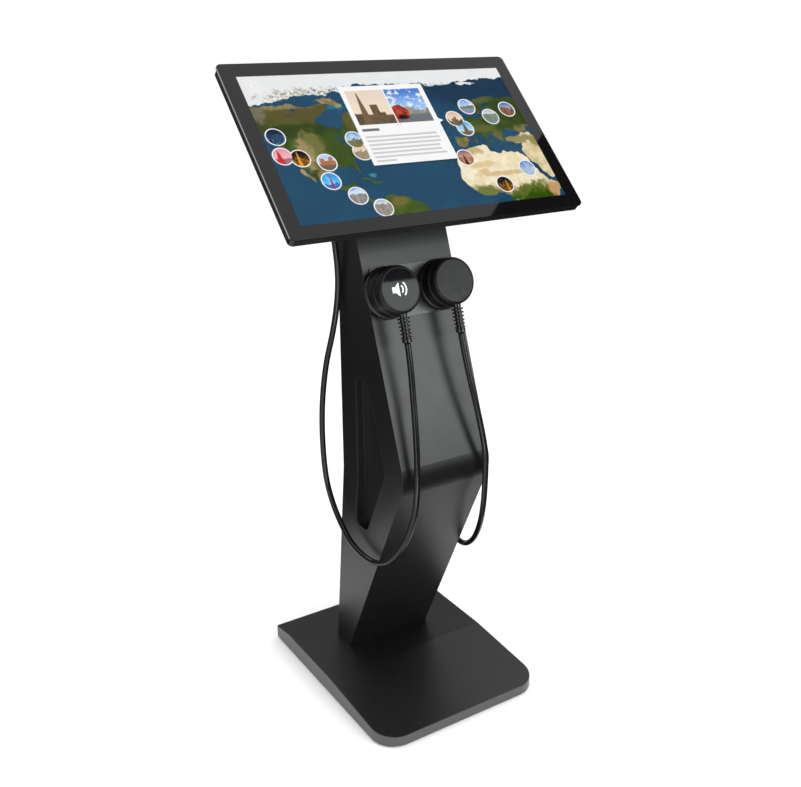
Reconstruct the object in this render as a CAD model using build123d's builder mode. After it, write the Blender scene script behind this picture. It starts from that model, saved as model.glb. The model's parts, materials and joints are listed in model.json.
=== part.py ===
"""Touchscreen kiosk: a tilted display on a kneed sheet-steel column, with two corded ear cups.

Row frame: origin on the floor under the middle of the base, +Z up, the visitor stands at -Y.
All sizes are in millimetres.
"""

from build123d import *
from math import atan2, cos, hypot, pi, radians, sin, tan
import os

os.makedirs("parts", exist_ok=True)

# ---------------------------------------------------------------- driving dimensions
BASE_WIDTH, BASE_DEPTH = 328.0, 404.0
BASE_CORNER, BASE_REAR_CORNER = 45.0, 4.0  # plan radii of the front and rear corners
BASE_FLAT_Z, BASE_FRONT_Z, BASE_REAR_Z = 35.0, 21.0, 26.0
BASE_FLAT_FRONT_Y, BASE_FLAT_REAR_Y = -15.0, 150.0
FOOT_GAP = 3.0  # floor to the lower edge of the base cover
SHEET = 2.0  # steel sheet of the cover and the column

COLUMN_WIDTH = 170.6
FOOT_FRONT, FOOT_BACK = (51.0, BASE_FLAT_Z), (96.0, BASE_FLAT_Z)  # side profile, as (y, z)
KNEE, KNEE_RADIUS = (-142.0, 442.5), 60.0
NECK, NECK_RADIUS = (9.4, 853.0), 20.0
HEAD_FRONT_S = -35.0  # front edge of the column's head, up the screen from the picture's middle
HEAD_PLATE = 6.0
BACK_KINK = (55.5, 404.0)

RECESS_TOP_Z, RECESS_BOTTOM_Z = 584.0, 309.0
RECESS_INSET_FRONT, RECESS_INSET_LOW, RECESS_INSET_BACK = 54.0, 50.0, 48.0
RECESS_DEPTH, RECESS_LIP = 15.0, 0.6  # depth along the rear edge and at the knee

SCREEN_TILT = 44.5  # degrees from the floor up to the glass
SCREEN_CENTRE = (0.0, -25.4, 963.8)  # middle of the picture, on the glass
PICTURE_WIDTH, PICTURE_HEIGHT = 476.0, 267.8  # 21.5 inch, 16:9
GLASS_WIDTH, GLASS_HEIGHT = PICTURE_WIDTH + 49.2, PICTURE_HEIGHT + 48.7
GLASS_THICK, GLASS_CORNER = 3.0, 9.0
GLASS_OFFSET = 1.3  # the glass reaches this much further above the picture than below
FRAME_INSET, FRAME_DEPTH = 1.5, 12.0
HOUSING_WIDTH, HOUSING_HEIGHT, HOUSING_DEPTH = 440.0, 260.0, 35.0

CUP_SPACING = 102.6
CUP_RISE = 306.0  # from the knee up the front face to the cups' axes
CUP_RADIUS, CUP_RING_RADIUS, CUSHION_RADIUS = 38.0, 40.0, 42.5
CUP_FACE = 47.4  # front face of the column to the front of a cup
DOCK_WIDTH, DOCK_HEIGHT, DOCK_THICK = 150.0, 84.5, 3.0

CORD_DIAMETER = 10.0
RELIEF_LENGTH, RELIEF_TILT = 45.0, 3.0  # the strain relief leans this much towards the column

DOOR_WIDTH, DOOR_BOTTOM_Z, DOOR_TOP_Z = 130.0, 441.0, 789.0
DOOR_GAP = 1.0
HINGE_X, HINGE_Y, HINGE_ZS = -70.0, 60.0, (490.0, 740.0)
PIN_RADIUS, PIN_CLEARANCE = 2.0, 0.05

# ---------------------------------------------------------------- places worked out from them
half_column = COLUMN_WIDTH / 2
half_base = BASE_WIDTH / 2
back_y = BACK_KINK[0]
lean = atan2(NECK[0] - KNEE[0], NECK[1] - KNEE[1])
rise_y, rise_z = sin(lean), cos(lean)
face_normal = (0, -cos(lean), sin(lean))
tilt = radians(SCREEN_TILT)
screen = Plane(origin=SCREEN_CENTRE, x_dir=(1, 0, 0), z_dir=(0, -sin(tilt), cos(tilt)))
glass_back, frame_back = -GLASS_THICK, -GLASS_THICK - FRAME_DEPTH
housing_back = frame_back - HOUSING_DEPTH
head = screen.offset(housing_back - HEAD_PLATE)  # the slanted end of the column
head_low, head_high = HEAD_FRONT_S, (back_y - head.origin.Y) / head.y_dir.Y
head_middle = (head_low + head_high) / 2
HEAD_FRONT, HEAD_BACK = (
    (point.Y, point.Z) for point in (head.from_local_coords((0, s, 0)) for s in (head_low, head_high))
)
column_outline = [FOOT_FRONT, KNEE, NECK, HEAD_FRONT, HEAD_BACK, BACK_KINK, FOOT_BACK]
back_slope = (FOOT_BACK[0] - BACK_KINK[0]) / (BACK_KINK[1] - FOOT_BACK[1])
lower_back = Plane(
    origin=(0, back_y + (BACK_KINK[1] - 110) * back_slope, 110),
    x_dir=(-1, 0, 0),
    z_dir=(0, cos(atan2(back_slope, 1)), sin(atan2(back_slope, 1))),
)


def face_plane(side, height=0.0):
    """The plane of the upper front face at one cup's axis: x sideways, y up the face, z outwards."""
    origin = (side * CUP_SPACING / 2, KNEE[0] + CUP_RISE * rise_y, KNEE[1] + CUP_RISE * rise_z)
    return Plane(origin=origin, x_dir=(1, 0, 0), z_dir=face_normal).offset(height)


def inset(points, gaps):
    """The polygon with each edge moved inwards by its own gap. Edge i runs from point i to the next."""
    edges = []
    for (y0, z0), (y1, z1), gap in zip(points, points[1:] + points[:1], gaps):
        length = hypot(y1 - y0, z1 - z0)
        dy, dz = (y1 - y0) / length, (z1 - z0) / length
        edges.append((y0 + gap * dz, z0 - gap * dy, dy, dz))
    moved = []
    for (ya, za, dya, dza), (yb, zb, dyb, dzb) in zip(edges[-1:] + edges[:-1], edges):
        along = ((yb - ya) * dzb - (zb - za) * dyb) / (dya * dzb - dza * dyb)
        moved.append((ya + along * dya, za + along * dza))
    return moved


def save(part, label):
    """Labels a finished piece and writes its STEP file."""
    part.part.label = label
    export_step(part.part, f"parts/{label}.step")


# ================================================================ base
def base_form(gap, low):
    """The base's outer form moved inwards by gap, down to z = low."""
    front, rear = -BASE_DEPTH / 2 + gap, BASE_DEPTH / 2 - gap
    side = [
        (front, low),
        (front, BASE_FRONT_Z - gap),
        (BASE_FLAT_FRONT_Y, BASE_FLAT_Z - gap),
        (BASE_FLAT_REAR_Y, BASE_FLAT_Z - gap),
        (rear, BASE_REAR_Z - gap),
        (rear, low),
    ]
    with BuildPart() as form:
        with BuildSketch(Plane.YZ):
            with BuildLine():
                Polyline(*side, close=True)
            make_face()
        extrude(amount=half_base - gap, both=True)
        uprights = form.edges().filter_by(Axis.Z)
        fillet(uprights.group_by(Axis.Y)[0], BASE_CORNER - gap)
        fillet(uprights.group_by(Axis.Y)[-1], BASE_REAR_CORNER - gap)
    return form


bolt_places = [(x, 74.0) for x in (-60.0, -20.0, 20.0, 60.0)]
PLATE_BOTTOM, PLATE_TOP = 4.0, 16.0
COVER_EDGE_ROUND = 1.6
outer_form = base_form(0, FOOT_GAP)
inner_form = base_form(SHEET, FOOT_GAP - 1)
with BuildPart() as base_cover:
    add(outer_form.part)
    walls = base_cover.faces().filter_by(lambda f: abs(f.normal_at().Z) < 0.01)
    high_edges = walls.edges().filter_by(lambda e: e.center().Z > BASE_FRONT_Z - 1)
    fillet(high_edges.filter_by(lambda e: abs((e % 0.5).Z) < 0.3), COVER_EDGE_ROUND)
    add(inner_form.part, mode=Mode.SUBTRACT)
    with Locations(*[(x, y, BASE_FLAT_Z) for x, y in bolt_places]):
        Hole(radius=5.5, depth=2 * SHEET)
save(base_cover, "base_cover")

plate_margin = SHEET + 1.5
with BuildPart() as base_weight_plate:
    with BuildSketch(Plane.XY.offset(PLATE_BOTTOM)):
        plate_size = (BASE_WIDTH - 2 * plate_margin, BASE_DEPTH - 2 * plate_margin)
        RectangleRounded(*plate_size, BASE_CORNER - plate_margin)
    extrude(amount=PLATE_TOP - PLATE_BOTTOM)
    with Locations(Plane.XY.offset(PLATE_BOTTOM)):
        with Locations(*[Location((x, y, 0), (180, 0, 0)) for x, y in bolt_places]):
            CounterBoreHole(radius=5.5, counter_bore_radius=10.0, counter_bore_depth=7.0, depth=20)
save(base_weight_plate, "base_weight_plate")

FOOT_RADIUS = 18.0
foot_rows = ((136.0, -174.0), (143.0, -2.0), (143.0, 181.0))
foot_places = [(side * x, y) for side in (-1, 1) for x, y in foot_rows]
with BuildPart() as base_feet:
    with BuildSketch(Plane.XY):
        with Locations(*foot_places):
            Circle(FOOT_RADIUS)
    extrude(amount=PLATE_BOTTOM)
save(base_feet, "base_feet")

with BuildPart() as base_spacers:
    with BuildSketch(Plane.XY.offset(PLATE_TOP)):
        with Locations(*bolt_places):
            Circle(9.0)
            Circle(5.5, mode=Mode.SUBTRACT)
    extrude(amount=BASE_FLAT_Z - SHEET - PLATE_TOP)
save(base_spacers, "base_spacers")

FOOT_PLATE = 6.0
with BuildPart() as column_bolts:
    with BuildSketch(Plane.XY.offset(PLATE_BOTTOM + 1)):
        with Locations(*bolt_places):
            Circle(8.0)
            RegularPolygon(radius=4.4, side_count=6, mode=Mode.SUBTRACT)
    extrude(amount=6.0)
    with BuildSketch(Plane.XY.offset(PLATE_BOTTOM + 6)):
        with Locations(*bolt_places):
            Circle(8.0)
    extrude(amount=1.0)
    with BuildSketch(Plane.XY.offset(PLATE_BOTTOM + 7)):
        with Locations(*bolt_places):
            Circle(5.0)
    extrude(amount=BASE_FLAT_Z + SHEET + FOOT_PLATE + 2 - PLATE_BOTTOM - 7)
save(column_bolts, "column_bolts")

# ================================================================ column
OPEN_SIDE = -10.0  # the cavity runs out through the head, the back and the foot
cavity_outline = inset(column_outline, [SHEET] * 3 + [OPEN_SIDE] * 4)
recess_corners = inset(
    [FOOT_FRONT, KNEE, NECK, (back_y, NECK[1]), BACK_KINK, FOOT_BACK],
    [RECESS_INSET_LOW, RECESS_INSET_FRONT, 0.0, RECESS_INSET_BACK, RECESS_INSET_BACK, 0.0],
)


def crossing_y(a, b, z):
    """y where the line from a to b is at height z."""
    return a[0] + (b[0] - a[0]) * (z - a[1]) / (b[1] - a[1])


recess_outline = [
    (crossing_y(recess_corners[0], recess_corners[1], RECESS_BOTTOM_Z), RECESS_BOTTOM_Z),
    recess_corners[1],
    (crossing_y(recess_corners[1], recess_corners[2], RECESS_TOP_Z), RECESS_TOP_Z),
    (recess_corners[3][0], RECESS_TOP_Z),
    recess_corners[4],
    (crossing_y(recess_corners[4], recess_corners[5], RECESS_BOTTOM_Z), RECESS_BOTTOM_Z),
]
recess_knee_y, recess_back_y = recess_corners[1][0], recess_outline[-1][0]
RECESS_END_ROUND, RECESS_SIDE_ROUND = 15.0, 30.0


def recess_face(gap):
    """The recess's outline moved inwards by gap, with rounded corners, as a flat face."""
    with BuildSketch() as outline:
        with BuildLine():
            Polyline(*inset(recess_outline, [gap] * 6), close=True)
        make_face()
        middle = outline.vertices().filter_by_position(Axis.Y, 350, 500)
        fillet(middle, RECESS_SIDE_ROUND)
        fillet(outline.vertices().group_by(Axis.Y)[0], RECESS_END_ROUND - gap)
        fillet(outline.vertices().group_by(Axis.Y)[-1], RECESS_END_ROUND - gap)
    return outline.sketch


with BuildPart() as column_shell:
    with BuildSketch(Plane.YZ) as side_profile:
        with BuildLine():
            Polyline(*column_outline, close=True)
        make_face()
        fillet(side_profile.vertices().sort_by(Axis.X)[0], KNEE_RADIUS)
        fillet(side_profile.vertices().sort_by_distance((*NECK, 0))[0], NECK_RADIUS)
    extrude(amount=half_column, both=True)
    with BuildSketch(Plane.YZ) as cavity:
        with BuildLine():
            Polyline(*cavity_outline, close=True)
        make_face()
        fillet(cavity.vertices().sort_by(Axis.X)[0], KNEE_RADIUS - SHEET)
        fillet(cavity.vertices().sort_by_distance((NECK[0] + SHEET, NECK[1], 0))[0], NECK_RADIUS + SHEET)
    extrude(amount=half_column - SHEET, both=True, mode=Mode.SUBTRACT)
    with BuildSketch(Plane.YZ):
        add(recess_face(0))
    extrude(amount=half_column + 1, both=True, mode=Mode.SUBTRACT)
save(column_shell, "column_shell")

back_strip = inset(column_outline, [0, 0, 0, 0, SHEET, SHEET, 0])
with BuildPart() as column_back_frame:
    with BuildSketch(Plane.YZ):
        with BuildLine():
            Polyline(HEAD_BACK, BACK_KINK, FOOT_BACK, *back_strip[:3:-1], close=True)
        make_face()
    extrude(amount=half_column - SHEET, both=True)
    with BuildSketch(Plane.XZ.offset(-back_y)):
        with Locations((0, (DOOR_BOTTOM_Z + DOOR_TOP_Z) / 2)):
            Rectangle(DOOR_WIDTH + 2 * DOOR_GAP, DOOR_TOP_Z - DOOR_BOTTOM_Z + 2 * DOOR_GAP)
    extrude(amount=2 * SHEET, both=True, mode=Mode.SUBTRACT)
    with BuildSketch(lower_back):
        Rectangle(29.0, 57.0)
    extrude(amount=2 * SHEET, both=True, mode=Mode.SUBTRACT)
save(column_back_frame, "column_back_frame")

with BuildPart() as foot_plate:
    with BuildSketch(Plane.XY.offset(BASE_FLAT_Z)):
        with Locations((0, (FOOT_FRONT[0] + FOOT_BACK[0]) / 2)):
            Rectangle(COLUMN_WIDTH - 2 * SHEET - 0.4, FOOT_BACK[0] - FOOT_FRONT[0] - 2 * SHEET - 3)
        with Locations(*bolt_places):
            Circle(5.1, mode=Mode.SUBTRACT)
    extrude(amount=FOOT_PLATE)
save(foot_plate, "column_foot_plate")


def recess_pan(side):
    """The pressed pan that fills one side opening: deep along its rear edge, flush at the knee."""
    outer = side * half_column
    knee_x, rear_x = outer - side * RECESS_LIP, outer - side * RECESS_DEPTH

    def slab(thickness, gap, past):
        with BuildPart() as body:
            with BuildSketch(Plane.YZ.offset(outer + side * past)):
                add(recess_face(gap))
            extrude(amount=-side * (RECESS_DEPTH + SHEET + past + 1))
            with BuildSketch(Plane.XY.offset(RECESS_BOTTOM_Z - 1)):
                with BuildLine():
                    Polyline(
                        (outer + side * 2, recess_knee_y - 1),
                        (knee_x - side * thickness, recess_knee_y - 1),
                        (rear_x - side * thickness, recess_back_y + 1),
                        (outer + side * 2, recess_back_y + 1),
                        close=True,
                    )
                make_face()
            extrude(amount=RECESS_TOP_Z - RECESS_BOTTOM_Z + 2, mode=Mode.INTERSECT)
        return body

    pan_block, pocket = slab(SHEET, 0, 0), slab(0, SHEET, 1)
    with BuildPart() as pan:
        add(pan_block.part)
        add(pocket.part, mode=Mode.SUBTRACT)
    return pan


save(recess_pan(-1), "recess_pan_left")
save(recess_pan(1), "recess_pan_right")

VESA = 75.0
with BuildPart() as head_plate:
    with BuildSketch(head):
        with Locations((0, head_middle)):
            Rectangle(COLUMN_WIDTH, head_high - head_low)
            with GridLocations(VESA, VESA, 2, 2):
                Circle(2.3, mode=Mode.SUBTRACT)
            Circle(16.0, mode=Mode.SUBTRACT)
    extrude(amount=HEAD_PLATE)
save(head_plate, "display_head_plate")

HEAD_SCREW_RADIUS = 4.0
with BuildPart() as head_screws:
    with BuildSketch(head.offset(-2.4)):
        with Locations((0, head_middle)):
            with GridLocations(VESA, VESA, 2, 2):
                Circle(HEAD_SCREW_RADIUS)
    extrude(amount=2.4)
    with BuildSketch(head):
        with Locations((0, head_middle)):
            with GridLocations(VESA, VESA, 2, 2):
                Circle(2.0)
    extrude(amount=HEAD_PLATE + 5)
save(head_screws, "display_head_screws")

# ================================================================ display
with BuildPart() as touch_glass:
    with BuildSketch(screen.offset(glass_back)):
        with Locations((0, GLASS_OFFSET)):
            RectangleRounded(GLASS_WIDTH, GLASS_HEIGHT, GLASS_CORNER)
    extrude(amount=GLASS_THICK)
    chamfer(touch_glass.faces().sort_by(SortBy.AREA)[-2:].edges(), 0.5)
save(touch_glass, "touch_glass")

frame_size = (GLASS_WIDTH - 2 * FRAME_INSET, GLASS_HEIGHT - 2 * FRAME_INSET)
PANEL_SIZE, PANEL_THICK = (490.0, 284.0), 10.0
with BuildPart() as display_frame:
    with BuildSketch(screen.offset(frame_back)):
        with Locations((0, GLASS_OFFSET)):
            RectangleRounded(*frame_size, GLASS_CORNER - FRAME_INSET)
            Rectangle(PANEL_SIZE[0] + 4, PANEL_SIZE[1] + 4, mode=Mode.SUBTRACT)
    extrude(amount=FRAME_DEPTH)
save(display_frame, "display_frame")

with BuildPart() as lcd_panel:
    with BuildSketch(screen.offset(glass_back - 0.5 - PANEL_THICK)):
        with Locations((0, GLASS_OFFSET)):
            Rectangle(*PANEL_SIZE)
    extrude(amount=PANEL_THICK)
save(lcd_panel, "lcd_panel")

FLANGE = 2.0
SLOT_PITCH = 9.0
with BuildPart() as display_rear_cover:
    with BuildSketch(screen.offset(frame_back - FLANGE)):
        with Locations((0, GLASS_OFFSET)):
            RectangleRounded(frame_size[0] - 6, frame_size[1] - 6, 5.0)
    extrude(amount=FLANGE)
    with BuildSketch(screen.offset(housing_back)):
        RectangleRounded(HOUSING_WIDTH, HOUSING_HEIGHT, 14.0)
    extrude(amount=HOUSING_DEPTH - FLANGE)
    with BuildSketch(screen.offset(housing_back + SHEET)):
        RectangleRounded(HOUSING_WIDTH - 2 * SHEET, HOUSING_HEIGHT - 2 * SHEET, 12.0)
    extrude(amount=HOUSING_DEPTH, mode=Mode.SUBTRACT)
    with BuildSketch(screen.offset(housing_back)):
        for side in (-1, 1):
            with Locations((side * 130.0, 92.0)):
                with GridLocations(SLOT_PITCH, 1, 14, 1):
                    SlotOverall(40.0, 4.0, rotation=90)
        with Locations((0, head_middle)):
            with GridLocations(VESA, VESA, 2, 2):
                Circle(2.3)
            Circle(14.0)
    extrude(amount=SHEET, mode=Mode.SUBTRACT)
save(display_rear_cover, "display_rear_cover")

cover_screw_places = [(x, GLASS_OFFSET + y) for x in (-245.0, 0.0, 245.0) for y in (-143.0, 143.0)]
with BuildPart() as rear_cover_screws:
    with BuildSketch(screen.offset(frame_back - FLANGE - 1.8)):
        with Locations(*cover_screw_places):
            Circle(3.2)
            RegularPolygon(radius=1.6, side_count=6, mode=Mode.SUBTRACT)
    extrude(amount=1.8)
save(rear_cover_screws, "rear_cover_screws")

with BuildPart() as display_chassis:
    with BuildSketch(screen.offset(housing_back + SHEET)):
        with Locations((0, head_middle)):
            Rectangle(180.0, 110.0)
            with GridLocations(VESA, VESA, 2, 2):
                Circle(2.1, mode=Mode.SUBTRACT)
            Circle(14.0, mode=Mode.SUBTRACT)
    extrude(amount=4.0)
save(display_chassis, "display_chassis_plate")


def board(name, centre, size, chips, gap=14.0):
    """A circuit board behind the panel, with its larger chips standing on its rear side."""
    with BuildPart() as piece:
        with BuildSketch(screen.offset(frame_back - gap)):
            with Locations(centre):
                Rectangle(*size)
        extrude(amount=1.6)
        with BuildSketch(screen.offset(frame_back - gap - 3.0)):
            for dx, dy, width, height in chips:
                with Locations((centre[0] + dx, centre[1] + dy)):
                    Rectangle(width, height)
        extrude(amount=3.0)
    save(piece, name)


driver_chips = [(-20, 15, 22, 22), (25, -15, 14, 18), (25, 22, 10, 10)]
touch_chips = [(-12, 5, 14, 14), (18, -8, 8, 12)]
board("display_driver_board", (-150.0, -10.0), (110.0, 90.0), driver_chips)
board("touch_controller_board", (150.0, -20.0), (80.0, 50.0), touch_chips)

# ================================================================ ear cups and their dock
with BuildPart() as cup_dock_plate:
    with BuildSketch(face_plane(1)):
        with Locations((-CUP_SPACING / 2, 0)):
            RectangleRounded(DOCK_WIDTH, DOCK_HEIGHT, 7.0)
    extrude(amount=DOCK_THICK)
save(cup_dock_plate, "cup_dock_plate")

MAGNET_RADIUS, MAGNET_THICK = 14.0, 5.0
with BuildPart() as dock_magnets:
    for side in (-1, 1):
        with BuildSketch(face_plane(side, -SHEET - MAGNET_THICK)):
            Circle(MAGNET_RADIUS)
            Circle(4.0, mode=Mode.SUBTRACT)
        extrude(amount=MAGNET_THICK)
save(dock_magnets, "dock_magnets")

CUSHION_BACK = DOCK_THICK + 0.3
RING_BACK, RING_FRONT, RING_SHOULDER = 12.5, 31.5, 3.2
SHELL_BACK, SHELL_WALL, RIM_ROUND = 32.0, 2.2, 5.0
RELIEF_HEIGHT = 38.5  # how far out from the face the cord leaves a cup
BADGE_RADIUS = 32.6


def turned(plane, profile, rounds=()):
    """A solid of revolution about the plane's z axis. The profile is (radius, height) points in order,
    and rounds lists (corner, radius)."""
    section = Plane(origin=plane.origin, x_dir=plane.x_dir, z_dir=-plane.y_dir)
    with BuildPart() as piece:
        with BuildSketch(section) as sketch:
            with BuildLine():
                Polyline(*profile, close=True)
            make_face()
            for corner, radius in rounds:
                fillet(sketch.vertices().sort_by_distance((*corner, 0))[0], radius)
        revolve(axis=Axis(plane.origin, plane.z_dir))
    return piece


def strain_relief(side):
    """A ribbed sleeve below a cup, slightly tapered, with its tip face square to the cord."""
    start = face_plane(side).from_local_coords((0, -CUP_RADIUS + 0.4, RELIEF_HEIGHT))
    axis_plane = Plane(origin=start, x_dir=(1, 0, 0), z_dir=relief_direction(side))
    boss, collar, ribs, core = 3.6, 6.0, 6, 5.8
    profile = [(0, 0), (6.8, 0), (6.8, boss)]
    rib_pitch = (RELIEF_LENGTH - boss - collar) / ribs
    for i in range(ribs):
        low = boss + i * rib_pitch
        outer = 9.9 - 1.5 * i / ribs
        rib = [(core, 0.05), (core, 0.40), (outer - 0.8, 0.46), (outer, 0.58)]
        rib += [(outer, 0.78), (outer - 0.8, 0.90), (core, 0.96)]
        profile += [(radius, low + share * rib_pitch) for radius, share in rib]
    collar_low = RELIEF_LENGTH - collar
    profile += [(core, collar_low), (7.9, collar_low + 0.6), (7.8, RELIEF_LENGTH), (0, RELIEF_LENGTH)]
    return turned(axis_plane, profile)


def relief_direction(side):
    """The way the cord leaves a cup: down the face, leaning towards it."""
    plane = face_plane(side)
    return -plane.y_dir * cos(radians(RELIEF_TILT)) - plane.z_dir * sin(radians(RELIEF_TILT))


for side, name in ((-1, "left"), (1, "right")):
    plane = face_plane(side)
    inner_back, outer_back = (25.0, CUSHION_BACK), (CUSHION_RADIUS, CUSHION_BACK)
    inner_front, outer_front = (25.0, RING_BACK), (CUSHION_RADIUS, RING_BACK)
    cushion = turned(
        plane,
        [inner_back, outer_back, outer_front, inner_front],
        [(outer_back, 4.2), (outer_front, 4.4), (inner_back, 2.5)],
    )
    save(cushion, f"{name}_cup_cushion")
    ring = turned(
        plane,
        [(33.0, RING_BACK), (CUP_RING_RADIUS, RING_BACK), (CUP_RING_RADIUS, RING_FRONT), (36.5, RING_FRONT),
         (36.5, SHELL_BACK), (35.4, SHELL_BACK), (35.4, 34.0), (33.0, 34.0)],
        [((CUP_RING_RADIUS, RING_FRONT), RING_SHOULDER)],
    )
    save(ring, f"{name}_cup_ring")
    inner = CUP_RADIUS - SHELL_WALL
    badge_floor = CUP_FACE - 1.0 if name == "left" else CUP_FACE
    shell_profile = [(inner, SHELL_BACK), (CUP_RADIUS + 0.4, SHELL_BACK), (CUP_RADIUS, CUP_FACE)]
    if name == "left":
        shell_profile += [(BADGE_RADIUS + 0.15, CUP_FACE), (BADGE_RADIUS + 0.15, badge_floor)]
    shell_profile += [(0, badge_floor), (0, CUP_FACE - 3.2), (inner - 1.0, CUP_FACE - 3.2)]
    shell = turned(plane, shell_profile, [((CUP_RADIUS, CUP_FACE), RIM_ROUND)])
    relief_seat = plane.from_local_coords((0, -CUP_RADIUS + 8, RELIEF_HEIGHT))
    with BuildPart() as cup_shell:
        add(shell.part)
        with BuildSketch(Plane(origin=relief_seat, z_dir=-plane.y_dir)):
            Circle(4.2)
        extrude(amount=20, mode=Mode.SUBTRACT)
    with BuildPart() as relief:
        add(strain_relief(side).part)
        add(cup_shell.part, mode=Mode.SUBTRACT)
    save(cup_shell, f"{name}_cup_shell")
    save(relief, f"{name}_strain_relief")
    if name == "left":
        badge_top = CUP_FACE - 0.15
        badge_edge = [(BADGE_RADIUS, badge_floor), (BADGE_RADIUS, badge_top)]
        save(turned(plane, [(0, badge_floor), *badge_edge, (0, badge_top)]), "left_cup_badge")
    with BuildPart() as grille:
        with BuildSketch(plane.offset(RING_BACK + 4)):
            Circle(32.8)
            for radius, count in ((9.0, 6), (17.0, 12), (25.0, 18)):
                with PolarLocations(radius, count):
                    Circle(2.0, mode=Mode.SUBTRACT)
        extrude(amount=1.2)
    save(grille, f"{name}_cup_grille")
    keeper_low, keeper_high = RING_BACK + 1, RING_BACK + 3.5
    keeper_profile = [(26.0, keeper_low), (32.6, keeper_low), (32.6, keeper_high), (26.0, keeper_high)]
    keeper = turned(plane, keeper_profile)
    save(keeper, f"{name}_cup_keeper")
    driver = turned(
        plane,
        [(0, 18.5), (29.0, 18.5), (29.0, 20.5), (16.0, 30.5), (16.0, 38.5), (0, 38.5)],
    )
    save(driver, f"{name}_cup_driver")

# ================================================================ cords
# Each route runs from the tip of a cup's strain relief, down over the knee, round the column's side
# and up behind it to a gland on the display's rear cover.
left_route = [
    (-51.3, -98.7, 664.4), (-51.3, -105.8, 641.5), (-54.0, -119.0, 581.0), (-59.0, -135.0, 527.0),
    (-65.5, -149.0, 468.0), (-69.0, -153.5, 431.0), (-74.0, -153.5, 390.0), (-81.0, -142.0, 346.0),
    (-89.0, -116.0, 303.0), (-95.0, -88.0, 280.0), (-99.0, -46.0, 269.5), (-101.5, 6.0, 278.0),
    (-103.5, 37.0, 303.5), (-106.0, 62.0, 335.0), (-109.0, 79.0, 379.0), (-110.5, 84.0, 445.0),
    (-109.5, 83.0, 515.0), (-106.5, 70.5, 590.0), (-99.5, 54.0, 650.0), (-92.0, 49.5, 700.0),
    (-91.0, 45.0, 750.0), (-96.0, 45.0, 801.0), (-100.0, 47.5, 842.0), (-102.0, 41.5, 876.0),
    (-102.0, 30.0, 899.9), (-102.0, 18.4, 911.8),
]
right_route = [
    (51.3, -98.7, 664.4), (51.3, -105.8, 641.5), (53.5, -118.5, 600.0), (58.5, -131.5, 556.0),
    (64.0, -143.0, 508.0), (68.0, -150.5, 466.0), (70.5, -147.5, 427.0), (76.0, -138.0, 372.0),
    (84.0, -120.0, 322.0), (92.0, -93.0, 277.0), (97.0, -62.0, 249.0), (99.5, -32.0, 243.0),
    (101.5, 8.0, 258.0), (103.5, 40.0, 290.0), (106.0, 64.0, 331.0), (108.5, 79.0, 383.0),
    (110.0, 83.5, 445.0), (109.0, 82.0, 516.0), (106.0, 70.0, 590.0), (99.5, 54.0, 651.0),
    (92.0, 49.0, 702.0), (91.0, 45.5, 751.0), (96.0, 45.0, 800.0), (100.0, 47.5, 841.0),
    (102.0, 41.5, 876.0), (102.0, 30.0, 899.9), (102.0, 18.4, 911.8),
]
ARC_SHARE = 0.45


def bend_radii(route):
    """The radius at each inner point: as large as its two runs allow."""
    radii = []
    for before, here, after in zip(route, route[1:], route[2:]):
        run_in, run_out = Vector(*here) - Vector(*before), Vector(*after) - Vector(*here)
        half_turn = radians(run_in.get_angle(run_out)) / 2
        radii.append(ARC_SHARE * min(run_in.length, run_out.length) / tan(half_turn))
    return radii


for route, name in ((left_route, "cord_left"), (right_route, "cord_right")):
    radii = bend_radii(route)
    with BuildPart() as cord:
        with BuildLine() as path:
            run = FilletPolyline(*route, radius=radii)
        with BuildSketch(Plane(origin=run @ 0, z_dir=run % 0)):
            Circle(CORD_DIAMETER / 2)
        sweep()
    length = run.length
    expected = length * pi * (CORD_DIAMETER / 2) ** 2
    print(name, "length", round(length), "radii", [round(r) for r in radii],
          "volume share", round(cord.part.volume / expected, 4))
    save(cord, name)

GLAND_S, GLAND_T, GLAND_LENGTH = 102.0, -5.0, 20.0
for side, name in ((-1, "cord_gland_left"), (1, "cord_gland_right")):
    foot = screen.offset(housing_back).from_local_coords((side * GLAND_S, GLAND_T, 0))
    out = Plane(origin=foot, x_dir=(1, 0, 0), z_dir=-screen.z_dir)
    gland = turned(
        out, [(0, 0), (9.5, 0), (9.5, 3.0), (8.2, 3.0), (8.2, 13.0), (6.0, GLAND_LENGTH), (0, GLAND_LENGTH)]
    )
    print(name, "tip", out.from_local_coords((0, 0, GLAND_LENGTH)))
    save(gland, name)

# ================================================================ rear door
door_mid_z = (DOOR_BOTTOM_Z + DOOR_TOP_Z) / 2
door_height = DOOR_TOP_Z - DOOR_BOTTOM_Z
DOOR_RETURN = 6.0
LOCK_X, LOCK_Z = 50.0, 615.0
with BuildPart() as rear_door:
    with BuildSketch(Plane.XZ.offset(-back_y)):
        with Locations((0, door_mid_z)):
            Rectangle(DOOR_WIDTH, door_height)
    extrude(amount=DOOR_RETURN)
    with BuildSketch(Plane.XZ.offset(-back_y + SHEET)):
        with Locations((0, door_mid_z)):
            Rectangle(DOOR_WIDTH - 2 * SHEET, door_height - 2 * SHEET)
    extrude(amount=DOOR_RETURN, mode=Mode.SUBTRACT)
    with BuildSketch(Plane.XZ.offset(-back_y)):
        with Locations((LOCK_X, LOCK_Z)):
            Circle(9.0)
        for row_z in (470.0, 760.0):
            with Locations((0, row_z)):
                with GridLocations(8.0, 1, 9, 1):
                    SlotOverall(24.0, 3.5, rotation=90)
    extrude(amount=SHEET, mode=Mode.SUBTRACT)
save(rear_door, "rear_door")

KNUCKLE_RADIUS, KNUCKLE_HALF, LEAF = 4.0, 7.0, 1.5
pin_hole = PIN_RADIUS + PIN_CLEARANCE


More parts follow.
